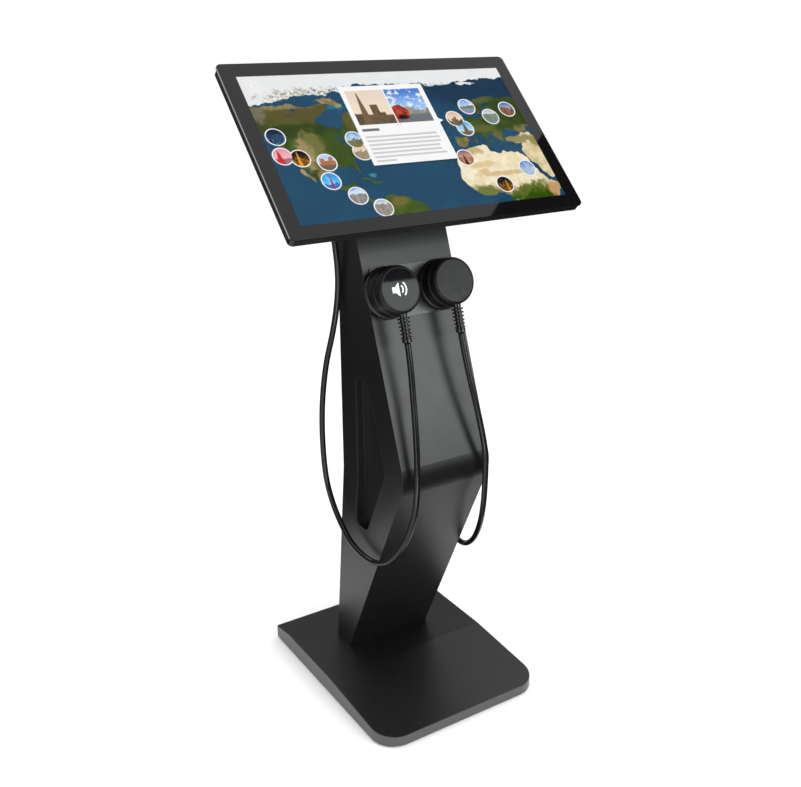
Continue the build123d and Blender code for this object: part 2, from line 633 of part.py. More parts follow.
def hinge_leaf(edge_x, lows_highs, leaf_low, leaf_high):
    """One leaf of each hinge: a plate on the sheet and the knuckles that the pin runs through."""
    with BuildPart() as leaves:
        for middle in HINGE_ZS:
            with BuildSketch(Plane.XY.offset(middle + leaf_low)):
                with BuildLine():
                    near = HINGE_X + (5.5 if edge_x > HINGE_X else -5.5)
                    Polyline(
                        (HINGE_X, HINGE_Y - 2.2), (near, HINGE_Y - 2.2), (near, back_y), (edge_x, back_y),
                        (edge_x, back_y + LEAF), (near + (1.5 if edge_x > HINGE_X else -1.5), back_y + LEAF),
                        (near, HINGE_Y - 0.5), (HINGE_X, HINGE_Y - 0.5), close=True,
                    )
                make_face()
            extrude(amount=leaf_high - leaf_low)
            for low, high in lows_highs:
                with BuildSketch(Plane.XY.offset(middle + low)):
                    with Locations((HINGE_X, HINGE_Y)):
                        Circle(KNUCKLE_RADIUS)
                extrude(amount=high - low)
        for middle in HINGE_ZS:
            with BuildSketch(Plane.XY.offset(middle - 30)):
                with Locations((HINGE_X, HINGE_Y)):
                    Circle(pin_hole)
            extrude(amount=60, mode=Mode.SUBTRACT)
    return leaves


OUTER_KNUCKLE = 20.0
KNUCKLE_GAP = 0.3
with BuildPart() as frame_hinge_leaves:
    for low, high in ((-OUTER_KNUCKLE, -KNUCKLE_HALF), (KNUCKLE_HALF, OUTER_KNUCKLE)):
        add(hinge_leaf(-82.0, [(low, high)], low, high).part)
save(frame_hinge_leaves, "frame_hinge_leaves")
door_half = KNUCKLE_HALF - KNUCKLE_GAP
save(hinge_leaf(-53.0, [(-door_half, door_half)], -door_half, door_half), "door_hinge_leaves")

with BuildPart() as hinge_pins:
    for middle in HINGE_ZS:
        with BuildSketch(Plane.XY.offset(middle - OUTER_KNUCKLE - 1)):
            with Locations((HINGE_X, HINGE_Y)):
                Circle(PIN_RADIUS)
        extrude(amount=2 * OUTER_KNUCKLE + 1)
        with BuildSketch(Plane.XY.offset(middle + OUTER_KNUCKLE)):
            with Locations((HINGE_X, HINGE_Y)):
                Circle(3.4)
        extrude(amount=1.5)
save(hinge_pins, "hinge_pins")

lock_face = Plane(origin=(LOCK_X, back_y, LOCK_Z), x_dir=(-1, 0, 0), z_dir=(0, 1, 0))
PLUG_RADIUS = 6.0
sleeve_bore = PLUG_RADIUS + 0.05
lock_sleeve = turned(
    lock_face, [(sleeve_bore, -8.0), (8.9, -8.0), (8.9, 0), (11.0, 0), (11.0, 2.5), (sleeve_bore, 2.5)]
)
save(lock_sleeve, "lock_sleeve")
CAM_FRONT, CAM_THICK, CAM_LENGTH = -8.3, 2.2, 26.0
with BuildPart() as lock_plug:
    with BuildSketch(lock_face.offset(CAM_FRONT)):
        Circle(PLUG_RADIUS)
    extrude(amount=2.0 - CAM_FRONT)
    with BuildSketch(lock_face.offset(2.0)):
        Rectangle(1.2, 7.0)
    extrude(amount=-6.0, mode=Mode.SUBTRACT)
    with BuildSketch(lock_face.offset(CAM_FRONT - CAM_THICK)):
        with Locations((0, -CAM_LENGTH / 2 + 5)):
            SlotOverall(CAM_LENGTH, 12.0, rotation=90)
    extrude(amount=CAM_THICK)
save(lock_plug, "lock_plug_and_cam")
with BuildPart() as latch_keeper:
    with BuildSketch(Plane.XZ.offset(-back_y + SHEET)):
        with Locations((74.5, LOCK_Z)):
            Rectangle(13.0, 30.0)
    extrude(amount=5.8)
save(latch_keeper, "latch_keeper")

# ================================================================ equipment inside the column
EQUIPMENT_Y = 14.5  # rear face of the plate, which carries the boxes
PLATE_LOW, PLATE_SHOULDER, PLATE_HIGH = 190.0, 596.0, 730.0  # narrow between the recesses, wide above
equipment_face = Plane.XZ.offset(-EQUIPMENT_Y)  # its normal points to the front
with BuildPart() as equipment_plate:
    with BuildSketch(equipment_face):
        with Locations((0, (PLATE_LOW + PLATE_HIGH) / 2)):
            Rectangle(132.0, PLATE_HIGH - PLATE_LOW)
        with Locations((0, (PLATE_SHOULDER + PLATE_HIGH) / 2)):
            Rectangle(COLUMN_WIDTH - 2 * SHEET - 0.6, PLATE_HIGH - PLATE_SHOULDER)
        for z in (350.0, 440.0, 608.0):
            with Locations((0, z)):
                SlotOverall(60.0, 14.0, mode=Mode.SUBTRACT)
    extrude(amount=SHEET)
save(equipment_plate, "equipment_plate")


def equipment_box(name, width, depth, low, high, corner, ribs=0):
    """A box of electronics on the rear of the equipment plate, with cooling ribs on its rear."""
    with BuildPart() as box:
        with BuildSketch(equipment_face):
            with Locations((0, (low + high) / 2)):
                RectangleRounded(width, high - low, corner)
        extrude(amount=-depth)
        if ribs:
            with BuildSketch(equipment_face.offset(-depth)):
                with Locations((0, (low + high) / 2)):
                    with GridLocations(width / (ribs + 1), 1, ribs, 1):
                        Rectangle(width / (ribs + 1) / 2, high - low - 16)
            extrude(amount=3.0, mode=Mode.SUBTRACT)
    save(box, name)


equipment_box("media_player", 112.0, 32.0, 470.0, 588.0, 8.0)
equipment_box("loop_amplifier", 90.0, 28.0, 626.0, 706.0, 3.0, ribs=9)
equipment_box("power_supply", 100.0, 32.0, 215.0, 325.0, 4.0, ribs=7)

# ================================================================ mains inlet and its switch
INLET_DEPTH, SOCKET_MIDDLE, SWITCH_MIDDLE = 24.0, -12.5, 16.5
ROCKER_TILT, ROCKER_PIN, ROCKER_SINK = 8.0, 1.4, -5.0
rocker_pivot = lower_back.from_local_coords((0, SWITCH_MIDDLE, ROCKER_SINK))
rocker_axis = Plane(origin=rocker_pivot, x_dir=lower_back.y_dir, z_dir=lower_back.x_dir)
rocker_up = lower_back.y_dir * cos(radians(ROCKER_TILT)) - lower_back.z_dir * sin(radians(ROCKER_TILT))
rocker_plane = Plane(origin=rocker_pivot, x_dir=rocker_up, z_dir=lower_back.x_dir)
with BuildPart() as mains_inlet:
    with BuildSketch(lower_back):
        RectangleRounded(36.0, 64.0, 3.0)
    extrude(amount=2.5)
    with BuildSketch(lower_back):
        Rectangle(28.0, 56.0)
    extrude(amount=-INLET_DEPTH)
    with BuildSketch(lower_back.offset(2.5)):
        with Locations((0, SOCKET_MIDDLE)):
            RectangleRounded(24.0, 17.0, 3.0)
    extrude(amount=-19.0, mode=Mode.SUBTRACT)
    with BuildSketch(lower_back.offset(2.5)):
        with Locations((0, SWITCH_MIDDLE)):
            Rectangle(14.0, 21.0)
    extrude(amount=-14.0, mode=Mode.SUBTRACT)
    with BuildSketch(lower_back.offset(-16.6)):
        with Locations((-7.0, SOCKET_MIDDLE - 2), (7.0, SOCKET_MIDDLE - 2), (0, SOCKET_MIDDLE + 2)):
            Rectangle(2.0, 4.0)
    extrude(amount=12.0)
    with BuildSketch(rocker_axis):
        Circle(ROCKER_PIN)
    extrude(amount=7.0, both=True)
save(mains_inlet, "mains_inlet")

with BuildPart() as power_rocker:
    with BuildSketch(rocker_plane):
        with BuildLine():
            Polyline((-8.8, 7.6), (0, 6.4), (8.8, 7.6), (7.0, -3.0), (-7.0, -3.0), close=True)
        make_face()
        Circle(ROCKER_PIN + PIN_CLEARANCE, mode=Mode.SUBTRACT)
    extrude(amount=6.0, both=True)
save(power_rocker, "power_rocker")
print("rocker axis", rocker_axis.origin, rocker_axis.z_dir)
print("cup planes", face_plane(-1).origin, face_normal)
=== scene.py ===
import json
import math
import random

import bmesh
import bpy
from mathutils import Matrix, Vector


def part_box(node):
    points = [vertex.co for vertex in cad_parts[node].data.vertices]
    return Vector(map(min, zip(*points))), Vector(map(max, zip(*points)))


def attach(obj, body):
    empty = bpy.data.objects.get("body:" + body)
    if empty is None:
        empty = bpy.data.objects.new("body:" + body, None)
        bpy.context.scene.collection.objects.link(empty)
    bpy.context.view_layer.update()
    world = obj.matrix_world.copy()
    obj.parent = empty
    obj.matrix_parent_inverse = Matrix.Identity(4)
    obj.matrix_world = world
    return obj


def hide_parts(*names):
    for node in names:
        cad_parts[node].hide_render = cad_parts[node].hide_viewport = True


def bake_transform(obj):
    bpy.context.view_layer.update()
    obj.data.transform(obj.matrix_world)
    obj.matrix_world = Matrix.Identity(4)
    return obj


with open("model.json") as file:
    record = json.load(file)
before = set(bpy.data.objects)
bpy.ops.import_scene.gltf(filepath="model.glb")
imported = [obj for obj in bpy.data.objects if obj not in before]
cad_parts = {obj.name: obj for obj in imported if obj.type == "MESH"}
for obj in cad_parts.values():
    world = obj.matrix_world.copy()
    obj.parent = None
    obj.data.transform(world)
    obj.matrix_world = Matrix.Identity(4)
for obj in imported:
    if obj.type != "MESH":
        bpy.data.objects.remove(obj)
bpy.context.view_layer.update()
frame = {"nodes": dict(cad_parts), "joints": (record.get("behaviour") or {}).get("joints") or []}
MM = 0.001

# ======== camera
CAMERA_PLACE = (-0.8532, -1.3421, 1.1301)
CAMERA_YAW, CAMERA_PITCH, CAMERA_ROLL = math.radians(32.389), math.radians(20.384), math.radians(0.334)
CAMERA_LENS, SENSOR_WIDTH = 44.82, 36.0
NEAREST, FARTHEST = 0.05, 200.0


def local_frame(origin, x_axis, z_axis):
    """The matrix that takes local points to the row frame."""
    z = Vector(z_axis).normalized()
    x = Vector(x_axis).normalized()
    turn = Matrix((x, z.cross(x), z)).transposed().to_4x4()
    return Matrix.Translation(origin) @ turn


def add_camera():
    """The camera looks along +Y turned to the right by its yaw, and down by its pitch."""
    yaw, pitch, roll = CAMERA_YAW, CAMERA_PITCH, CAMERA_ROLL
    forward = Vector((math.sin(yaw) * math.cos(pitch), math.cos(yaw) * math.cos(pitch), -math.sin(pitch)))
    level = Vector((math.cos(yaw), -math.sin(yaw), 0))
    right = level * math.cos(roll) + forward.cross(level) * math.sin(roll)
    made = bpy.data.cameras.new("camera")
    made.lens, made.sensor_width = CAMERA_LENS, SENSOR_WIDTH
    made.clip_start, made.clip_end = NEAREST, FARTHEST
    camera = bpy.data.objects.new("camera", made)
    camera.matrix_world = local_frame(CAMERA_PLACE, right, -forward)
    bpy.context.scene.collection.objects.link(camera)
    bpy.context.scene.camera = camera


add_camera()

# ======== local frames
SCREEN_TILT = math.radians(44.5)
GLASS_THICK = 3.0 * MM
GLASS_OFFSET = 1.3 * MM  # how far the glass's middle lies above the picture's, up the screen
PICTURE_HALF = (238.0 * MM, 133.9 * MM)
BADGE_HEIGHT = 46.825 * MM  # middle of the badge above the column's front face


def middle(node):
    low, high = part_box(node)
    return (low + high) / 2


screen_normal = Vector((0, -math.sin(SCREEN_TILT), math.cos(SCREEN_TILT)))
screen_up = Vector((0, math.cos(SCREEN_TILT), math.sin(SCREEN_TILT)))
screen_centre = middle("touch_glass") - screen_up * GLASS_OFFSET + screen_normal * GLASS_THICK / 2
screen = local_frame(screen_centre, (1, 0, 0), screen_normal)

joints = {joint["name"]: joint for joint in frame["joints"]}
face_normal = Vector(joints["left_cup_lift"]["axis"]).normalized()
left_foot = middle("left_cup_badge") - face_normal * BADGE_HEIGHT
cup_frames = {
    "left": local_frame(left_foot, (1, 0, 0), face_normal),
    "right": local_frame(left_foot * Vector((-1, 1, 1)), (1, 0, 0), face_normal),
}


# ======== material building
class Shader:
    """A node material under construction."""

    def __init__(self, name):
        self.material = bpy.data.materials.new(name)
        self.material.use_nodes = True
        self.tree = self.material.node_tree
        self.tree.nodes.clear()
        self.output = self.tree.nodes.new("ShaderNodeOutputMaterial")
        self.place = self.tree.nodes.new("ShaderNodeTexCoord").outputs["Object"]

    def feed(self, socket, value):
        if isinstance(value, bpy.types.NodeSocket):
            self.tree.links.new(value, socket)
        elif isinstance(value, (tuple, list)) and len(value) == 3 and len(socket.default_value) == 4:
            socket.default_value = (*value, 1.0)
        else:
            socket.default_value = value

    def node(self, kind, settings=None, **inputs):
        made = self.tree.nodes.new("ShaderNode" + kind)
        for key, value in (settings or {}).items():
            setattr(made, key, value)
        for key, value in inputs.items():
            self.feed(made.inputs[key.replace("_", " ")], value)
        return made

    def math(self, operation, a, b=0.0):
        made = self.node("Math", {"operation": operation})
        self.feed(made.inputs[0], a)
        self.feed(made.inputs[1], b)
        return made.outputs[0]

    def plus(self, a, b):
        return self.math("ADD", a, b)

    def minus(self, a, b):
        return self.math("SUBTRACT", a, b)

    def times(self, a, b):
        return self.math("MULTIPLY", a, b)

    def mix(self, factor, a, b, kind="MIX"):
        made = self.node("Mix", {"data_type": "RGBA", "blend_type": kind})
        self.feed(made.inputs[0], factor)
        self.feed(made.inputs[6], a)
        self.feed(made.inputs[7], b)
        return made.outputs[2]

    def scaled(self, factors):
        return self.node("Mapping", {}, Vector=self.place, Scale=factors).outputs[0]

    def noise(self, scale, detail=3.0, roughness=0.55, distortion=0.0, place=None):
        made = self.node("TexNoise", {}, Vector=place or self.place, Scale=scale, Detail=detail,
                         Roughness=roughness, Distortion=distortion)
        return made.outputs["Fac"]

    def cells(self, scale, place=None):
        return self.node("TexVoronoi", {}, Vector=place or self.place, Scale=scale).outputs["Distance"]

    def between(self, value, low, high, to_low=0.0, to_high=1.0, smooth=True):
        """The value from low to high, spread over the range from to_low to to_high."""
        kind = "SMOOTHSTEP" if smooth else "LINEAR"
        made = self.node("MapRange", {"interpolation_type": kind}, Value=value, From_Min=low, From_Max=high,
                         To_Min=to_low, To_Max=to_high)
        return made.outputs[0]

    def bump(self, height, strength, distance, normal=None):
        made = self.node("Bump", {}, Height=height, Strength=strength, Distance=distance)
        if normal is not None:
            self.feed(made.inputs["Normal"], normal)
        return made.outputs[0]

    def soft_edges(self, radius):
        return self.node("Bevel", {"samples": 4}, Radius=radius).outputs[0]

    def inside(self, matrix):
        """The place in a local frame."""
        mapping = self.node("Mapping", {"vector_type": "TEXTURE"}, Vector=self.place)
        mapping.inputs["Location"].default_value = matrix.to_translation()
        mapping.inputs["Rotation"].default_value = matrix.to_euler()
        return mapping.outputs[0]

    def parts(self, vector):
        """The x, y and z of a place or a normal."""
        return self.node("SeparateXYZ", {}, Vector=vector).outputs

    def over(self, factor, below, above):
        """Two shaders in one: the factor says how much of the upper one is seen."""
        made = self.node("MixShader")
        for socket, value in zip(made.inputs, (factor, below, above)):
            self.feed(socket, value)
        return made.outputs[0]

    def show(self, shader):
        self.feed(self.output.inputs["Surface"], shader)

    def surface(self, level=0.5, **inputs):
        """One plain surface. The level is that of its specular reflection."""
        made = self.node("BsdfPrincipled", {}, **inputs)
        made.inputs["Specular IOR Level"].default_value = level
        self.show(made.outputs[0])


def grey(tone, tint=0.0):
    """A grey with a little more or less blue."""
    return (tone, tone, tone + tint)


def wear_mask(s, radius):
    """1 close to a sharp edge, 0 on the flats, broken up by noise."""
    alike = s.node("VectorMath", {"operation": "DOT_PRODUCT"})
    s.feed(alike.inputs[0], s.soft_edges(radius))
    s.feed(alike.inputs[1], s.node("NewGeometry").outputs["Normal"])
    edge = s.between(alike.outputs["Value"], 0.995, 0.93)
    return s.times(edge, s.between(s.noise(60.0, 4.0), 0.42, 0.62))


def powder_coat(name, tone=0.0042, gloss=0.35, level=0.50, round_edges=0.9 * MM, dust=0.0, painted_side_sheen=0.0):
    """Satin black powder coat: fine orange peel over a finer grain, with slightly worn edges.

    Dust is the strength of pale specks, and the painted side sheen is a lighter grey painted on its upright
    faces as a painted reflection of the bright floor."""
    s = Shader(name)
    colour = s.mix(s.noise(14.0, 4.0), grey(tone * 0.85, tone * 0.02), grey(tone * 1.2, tone * -0.02))
    # painted sheen: upright faces get a lighter grey, standing in for the bright floor they reflect
    if painted_side_sheen:
        facing_up = s.math("ABSOLUTE", s.parts(s.node("NewGeometry").outputs["Normal"])[2])
        colour = s.mix(s.between(facing_up, 0.7, 0.3), colour, grey(painted_side_sheen, painted_side_sheen * 0.05))
    worn = wear_mask(s, round_edges * 1.6)
    colour = s.mix(s.times(worn, 0.5), colour, grey(0.03))
    if dust:
        specks = s.between(s.cells(150.0), 0.10, 0.05)
        rare = s.between(s.noise(45.0, 2.0), 0.58, 0.66)
        colour = s.mix(s.times(s.times(specks, rare), dust), colour, grey(0.35, -0.01))
    uneven = s.between(s.noise(35.0, 5.0), 0.3, 0.7, gloss - 0.015, gloss + 0.02, smooth=False)
    rough = s.plus(uneven, s.times(worn, -0.08))
    grain = s.plus(s.times(s.noise(1500.0, 2.0), 0.6), s.noise(420.0, 2.0))
    s.surface(level, Base_Color=colour, Roughness=rough,
              Normal=s.bump(grain, 0.16, 0.12 * MM, s.soft_edges(round_edges)))
    return s.material


def plastic(name, tone=grey(0.006, 0.0005), gloss=0.32, level=0.4, grain=0.10, round_edges=0.4 * MM):
    """Moulded plastic with a fine spark-eroded grain."""
    s = Shader(name)
    colour = s.mix(s.noise(30.0, 3.0), tuple(c * 0.8 for c in tone), tuple(c * 1.25 for c in tone))
    rough = s.between(s.noise(70.0, 5.0), 0.3, 0.7, gloss - 0.04, gloss + 0.05, smooth=False)
    normal = s.bump(s.noise(2200.0, 2.0), grain, 0.08 * MM, s.soft_edges(round_edges))
    s.surface(level, Base_Color=colour, Roughness=rough, Normal=normal)
    return s.material


def rubber(name, tone=0.006, gloss=0.5, grain=0.2):
    """Moulded rubber, dull, with bloom and fine dust."""
    s = Shader(name)
    bloom = s.between(s.noise(55.0, 6.0), 0.45, 0.75)
    colour = s.mix(bloom, grey(tone), grey(tone * 1.9, tone * -0.05))
    rough = s.between(bloom, 0.0, 1.0, gloss - 0.05, gloss + 0.12, smooth=False)
    s.surface(0.4, Base_Color=colour, Roughness=rough, Normal=s.bump(s.noise(1100.0, 3.0), grain, 0.08 * MM))
    return s.material


def cord_jacket(name):
    """Smooth glossy jacket with faint marks."""
    s = Shader(name)
    colour = s.mix(s.noise(40.0, 4.0), grey(0.003, 0.0005), grey(0.006))
    rough = s.between(s.noise(120.0, 5.0), 0.35, 0.75, 0.17, 0.26, smooth=False)
    s.surface(0.32, Base_Color=colour, Roughness=rough, Normal=s.bump(s.noise(500.0, 3.0), 0.03, 0.1 * MM))
    return s.material


def metal(name, tone, gloss, stretch=(1.0, 1.0, 1.0), grain=0.1):
    """Plated or anodised metal, with fine scratches drawn out along one axis."""
    s = Shader(name)
    colour = s.mix(s.noise(25.0, 5.0), tuple(c * 0.85 for c in tone), tone)
    drawn = s.scaled(stretch)
    rough = s.between(s.noise(300.0, 4.0, place=drawn), 0.3, 0.7, gloss * 0.8, gloss * 1.3, smooth=False)
    normal = s.bump(s.noise(900.0, 3.0, place=drawn), grain, 0.05 * MM, s.soft_edges(0.3 * MM))
    s.surface(Base_Color=colour, Roughness=rough, Normal=normal, Metallic=1.0)
    return s.material


def leatherette(name):
    """Fine pebbled leatherette with creases."""
    s = Shader(name)
    pebbles = s.cells(900.0)
    creases = s.noise(130.0, 5.0, distortion=1.2)
    height = s.plus(s.times(pebbles, 0.7), creases)
    rough = s.between(creases, 0.3, 0.7, 0.38, 0.55, smooth=False)
    s.surface(0.45, Base_Color=s.mix(pebbles, grey(0.004), grey(0.012)), Roughness=rough,
              Normal=s.bump(height, 0.35, 0.2 * MM))
    return s.material


BOARD_REAR = -29.05 * MM  # the boards' rear faces, behind the glass's front; the chips stand on them
CHIP_EDGE = 0.1 * MM


def circuit_board(name):
    """Green board with tracks on a grid and gilt pads; the chips stand behind it and are black."""
    s = Shader(name)
    place = s.inside(screen)
    tracks = s.node("TexBrick", {"offset": 0.3}, Vector=place, Scale=260.0, Color1=(0.010, 0.075, 0.030),
                    Color2=(0.012, 0.090, 0.040), Mortar=(0.03, 0.16, 0.07), Mortar_Size=0.08)
    pads = s.between(s.cells(330.0, place), 0.16, 0.12)
    colour = s.mix(pads, tracks.outputs["Color"], (0.55, 0.42, 0.18))
    chip = s.between(s.parts(place)[2], BOARD_REAR, BOARD_REAR - CHIP_EDGE)
    s.surface(Base_Color=s.mix(chip, colour, grey(0.012)), Roughness=s.between(chip, 0, 1, 0.3, 0.5),
              Normal=s.bump(tracks.outputs["Fac"], 0.3, 0.1 * MM))
    return s.material


# ======== mesh building
def new_object(name, mesh, material, body, smooth=True):
    """Links a mesh in the row frame, with one material, and makes it ride on its body."""
    mesh.materials.append(material)
    made = bpy.data.objects.new(name, mesh)
    bpy.context.scene.collection.objects.link(made)
    if smooth:
        mesh.shade_smooth()
    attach(made, body)
    return made


def quads(rings, around, joined):
    """The faces between neighbouring rings of points. Joined says whether the last ring meets the first."""
    faces = []
    for i in range(rings if joined else rings - 1):
        here, there = i * around, (i + 1) % rings * around
        for k in range(around):
            m = (k + 1) % around
            faces.append((here + k, here + m, there + m, there + k))
    return faces


def polar(radius, angle, centre=(0.0, 0.0)):
    return (centre[0] + radius * math.cos(angle), centre[1] + radius * math.sin(angle))


def ring(name, profile, matrix, material, body, steps=96):
    """A ring about local z. The profile of its section is a list of (radius, height)."""
    points = [matrix @ Vector((*polar(radius, 2 * math.pi * i / steps), height))
              for radius, height in profile for i in range(steps)]
    mesh = bpy.data.meshes.new(name)
    mesh.from_pydata(points, [], quads(len(profile), steps, True))
    cleaned(mesh)
    new_object(name, mesh, material, body)


def cleaned(mesh):
    """Joins doubled points and turns every face outwards."""
    work = bmesh.new()
    work.from_mesh(mesh)
    bmesh.ops.remove_doubles(work, verts=work.verts, dist=1e-7)
    bmesh.ops.recalc_face_normals(work, faces=work.faces)
    work.to_mesh(mesh)
    work.free()


def prism(outline, low, high, matrix, work):
    """Adds a flat slab with a given outline to a bmesh."""
    lower, upper = [[work.verts.new(matrix @ Vector((x, y, z))) for x, y in outline] for z in (low, high)]
    caps = [work.faces.new(lower[::-1]), work.faces.new(upper)]
    for i in range(len(outline)):
        j = (i + 1) % len(outline)
        work.faces.new((lower[i], lower[j], upper[j], upper[i]))
    for cap in caps:
        cap.normal_update()
    bmesh.ops.triangulate(work, faces=caps)


def slab(name, outlines, low, high, matrix, material, body):
    """One object of one or more flat slabs in a local frame."""
    work = bmesh.new()
    for outline in outlines:
        prism(outline, low, high, matrix, work)
    bmesh.ops.recalc_face_normals(work, faces=work.faces)
    mesh = bpy.data.meshes.new(name)
    work.to_mesh(mesh)
    work.free()
    new_object(name, mesh, material, body, smooth=False)


# ======== cords
CORD_DIAMETER = 10.0 * MM
CORD_SIDES, CORD_STEPS = 20, 12
left_route = [
    (-51.3, -98.7, 664.4), (-51.3, -105.8, 641.5), (-54.0, -119.0, 581.0), (-59.0, -135.0, 527.0),
    (-65.5, -149.0, 468.0), (-69.0, -153.5, 431.0), (-74.0, -153.5, 390.0), (-81.0, -142.0, 346.0),
    (-89.0, -116.0, 303.0), (-95.0, -88.0, 280.0), (-99.0, -46.0, 269.5), (-101.5, 6.0, 278.0),
    (-103.5, 37.0, 303.5), (-106.0, 62.0, 335.0), (-109.0, 79.0, 379.0), (-110.5, 84.0, 445.0),
    (-109.5, 83.0, 515.0), (-106.5, 70.5, 590.0), (-99.5, 54.0, 650.0), (-92.0, 49.5, 700.0),
    (-91.0, 45.0, 750.0), (-96.0, 45.0, 801.0), (-100.0, 47.5, 842.0), (-102.0, 41.5, 876.0),
    (-102.0, 30.0, 899.9), (-102.0, 18.4, 911.8),
]
right_route = [
    (51.3, -98.7, 664.4), (51.3, -105.8, 641.5), (53.5, -118.5, 600.0), (58.5, -131.5, 556.0),
    (64.0, -143.0, 508.0), (68.0, -150.5, 466.0), (70.5, -147.5, 427.0), (76.0, -138.0, 372.0),
    (84.0, -120.0, 322.0), (92.0, -93.0, 277.0), (97.0, -62.0, 249.0), (99.5, -32.0, 243.0),
    (101.5, 8.0, 258.0), (103.5, 40.0, 290.0), (106.0, 64.0, 331.0), (108.5, 79.0, 383.0),
    (110.0, 83.5, 445.0), (109.0, 82.0, 516.0), (106.0, 70.0, 590.0), (99.5, 54.0, 651.0),
    (92.0, 49.0, 702.0), (91.0, 45.5, 751.0), (96.0, 45.0, 800.0), (100.0, 47.5, 841.0),
    (102.0, 41.5, 876.0), (102.0, 30.0, 899.9), (102.0, 18.4, 911.8),
]


def smooth_line(name, route):
    """The points of a smooth curve whose control points are the route."""
    curve = bpy.data.curves.new(name, "CURVE")
    curve.dimensions = "3D"
    curve.resolution_u = CORD_STEPS
    spline = curve.splines.new("NURBS")
    spline.points.add(len(route) - 1)
    for point, place in zip(spline.points, route):
        point.co = (*(Vector(place) * MM), 1.0)
    spline.order_u = 3
    spline.use_endpoint_u = True
    line = bpy.data.objects.new(name + "_line", curve)
    mesh = bpy.data.meshes.new_from_object(line)
    points = [v.co.copy() for v in mesh.vertices]
    bpy.data.objects.remove(line)
    return points


def tube(name, points, radius, sides):
    """A closed round tube along a line, with frames carried on from point to point."""
    verts = []
    across = Vector((1, 0, 0))
    for i, point in enumerate(points):
        along = (points[min(i + 1, len(points) - 1)] - points[max(i - 1, 0)]).normalized()
        across = (across - along * across.dot(along)).normalized()
        other = along.cross(across)
        for k in range(sides):
            x, y = polar(radius, 2 * math.pi * k / sides)
            verts.append(point + across * x + other * y)
    caps = [tuple(range(sides))[::-1], tuple(range(len(verts) - sides, len(verts)))]
    mesh = bpy.data.meshes.new(name)
    mesh.from_pydata(verts, [], quads(len(points), sides, False) + caps)
    cleaned(mesh)
    return mesh


def add_cord(side, route, material):
    """A cup's cord, which hangs between the cup and the gland behind the display."""
    name = f"{side}_cup_cord"
    points = smooth_line(name, route)
    length = sum((b - a).length for a, b in zip(points, points[1:]))
    mesh = tube(name, points, CORD_DIAMETER / 2, CORD_SIDES)
    mesh.materials.append(material)
    mesh.shade_smooth()
    cord = bpy.data.objects.new(name, mesh)
    bpy.context.scene.collection.objects.link(cord)
    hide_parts(f"cord_{side}")
    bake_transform(cord)
    print(name, "length", round(length, 4))


jacket = cord_jacket("cord_jacket")
add_cord("left", left_route, jacket)
add_cord("right", right_route, jacket)

# ======== the frame's own nodes
def paint(material, *nodes):
    """Gives CAD nodes their material."""
    for name in nodes:
        mesh = frame["nodes"][name].data
        mesh.materials.clear()
        mesh.materials.append(material)


paint(powder_coat("black_powder_coat"), "column_shell", "column_back_frame", "rear_door", "latch_keeper",
      "frame_hinge_leaves", "door_hinge_leaves", "display_head_plate", "recess_pan_left", "recess_pan_right")
# the base's upright faces carry a painted sheen, a lighter grey standing in for reflected floor light
paint(powder_coat("base_powder_coat", gloss=0.38, dust=0.6, painted_side_sheen=0.055), "base_cover")
paint(powder_coat("display_coat", gloss=0.36, level=0.4), "display_rear_cover", "display_frame")
paint(powder_coat("dock_coat", tone=0.008, gloss=0.32, level=0.65), "cup_dock_plate")
paint(plastic("cup_plastic", level=0.2), "left_cup_ring", "left_cup_shell", "right_cup_ring",
      "right_cup_shell", "left_cup_keeper", "right_cup_keeper")


def domed_badge(name):
    """A glossy black disc with a slightly domed face, more curved from top to bottom than across."""
    s = Shader(name)
    x, y, z = s.parts(s.inside(cup_frames["left"]))
    rise = s.times(s.times(y, y), -1.4)
    bulge = s.plus(rise, s.times(s.times(x, x), -0.3))
    colour = s.mix(s.noise(60.0, 3.0), grey(0.0035, 0.001), grey(0.006, 0.001))
    rough = s.between(s.noise(50.0, 5.0), 0.3, 0.7, 0.05, 0.09, smooth=False)
    s.surface(0.18, Base_Color=colour, Roughness=rough, Normal=s.bump(bulge, 1.0, 1.0))
    return s.material


paint(domed_badge("badge_gloss"), "left_cup_badge")
paint(metal("grille_steel", grey(0.05), 0.35), "left_cup_grille", "right_cup_grille")
paint(plastic("driver_plastic", grey(0.03)), "left_cup_driver", "right_cup_driver")
paint(metal("magnet_nickel", (0.62, 0.61, 0.58), 0.2), "dock_magnets")
paint(rubber("relief_rubber", gloss=0.24), "left_strain_relief", "right_strain_relief")
paint(rubber("foot_rubber", gloss=0.6), "base_feet")
paint(plastic("black_nylon", gloss=0.42), "cord_gland_left", "cord_gland_right")
paint(metal("zinc_steel", grey(0.60, -0.02), 0.32, (1.0, 6.0, 1.0)), "base_weight_plate", "base_spacers",
      "column_bolts", "column_foot_plate", "display_head_screws", "rear_cover_screws",
      "display_chassis_plate", "equipment_plate", "hinge_pins")
paint(metal("lock_chrome", grey(0.72), 0.10, grain=0.03), "lock_sleeve", "lock_plug_and_cam")
paint(circuit_board("circuit_board"), "display_driver_board", "touch_controller_board")
paint(plastic("player_case", grey(0.03, 0.004), gloss=0.4), "media_player")
paint(metal("ribbed_aluminium", grey(0.22, 0.01), 0.4, (1.0, 1.0, 8.0)), "loop_amplifier", "power_supply")
paint(plastic("inlet_plastic", grey(0.016), gloss=0.38), "mains_inlet")
paint(plastic("rocker_plastic", grey(0.012), gloss=0.22), "power_rocker")


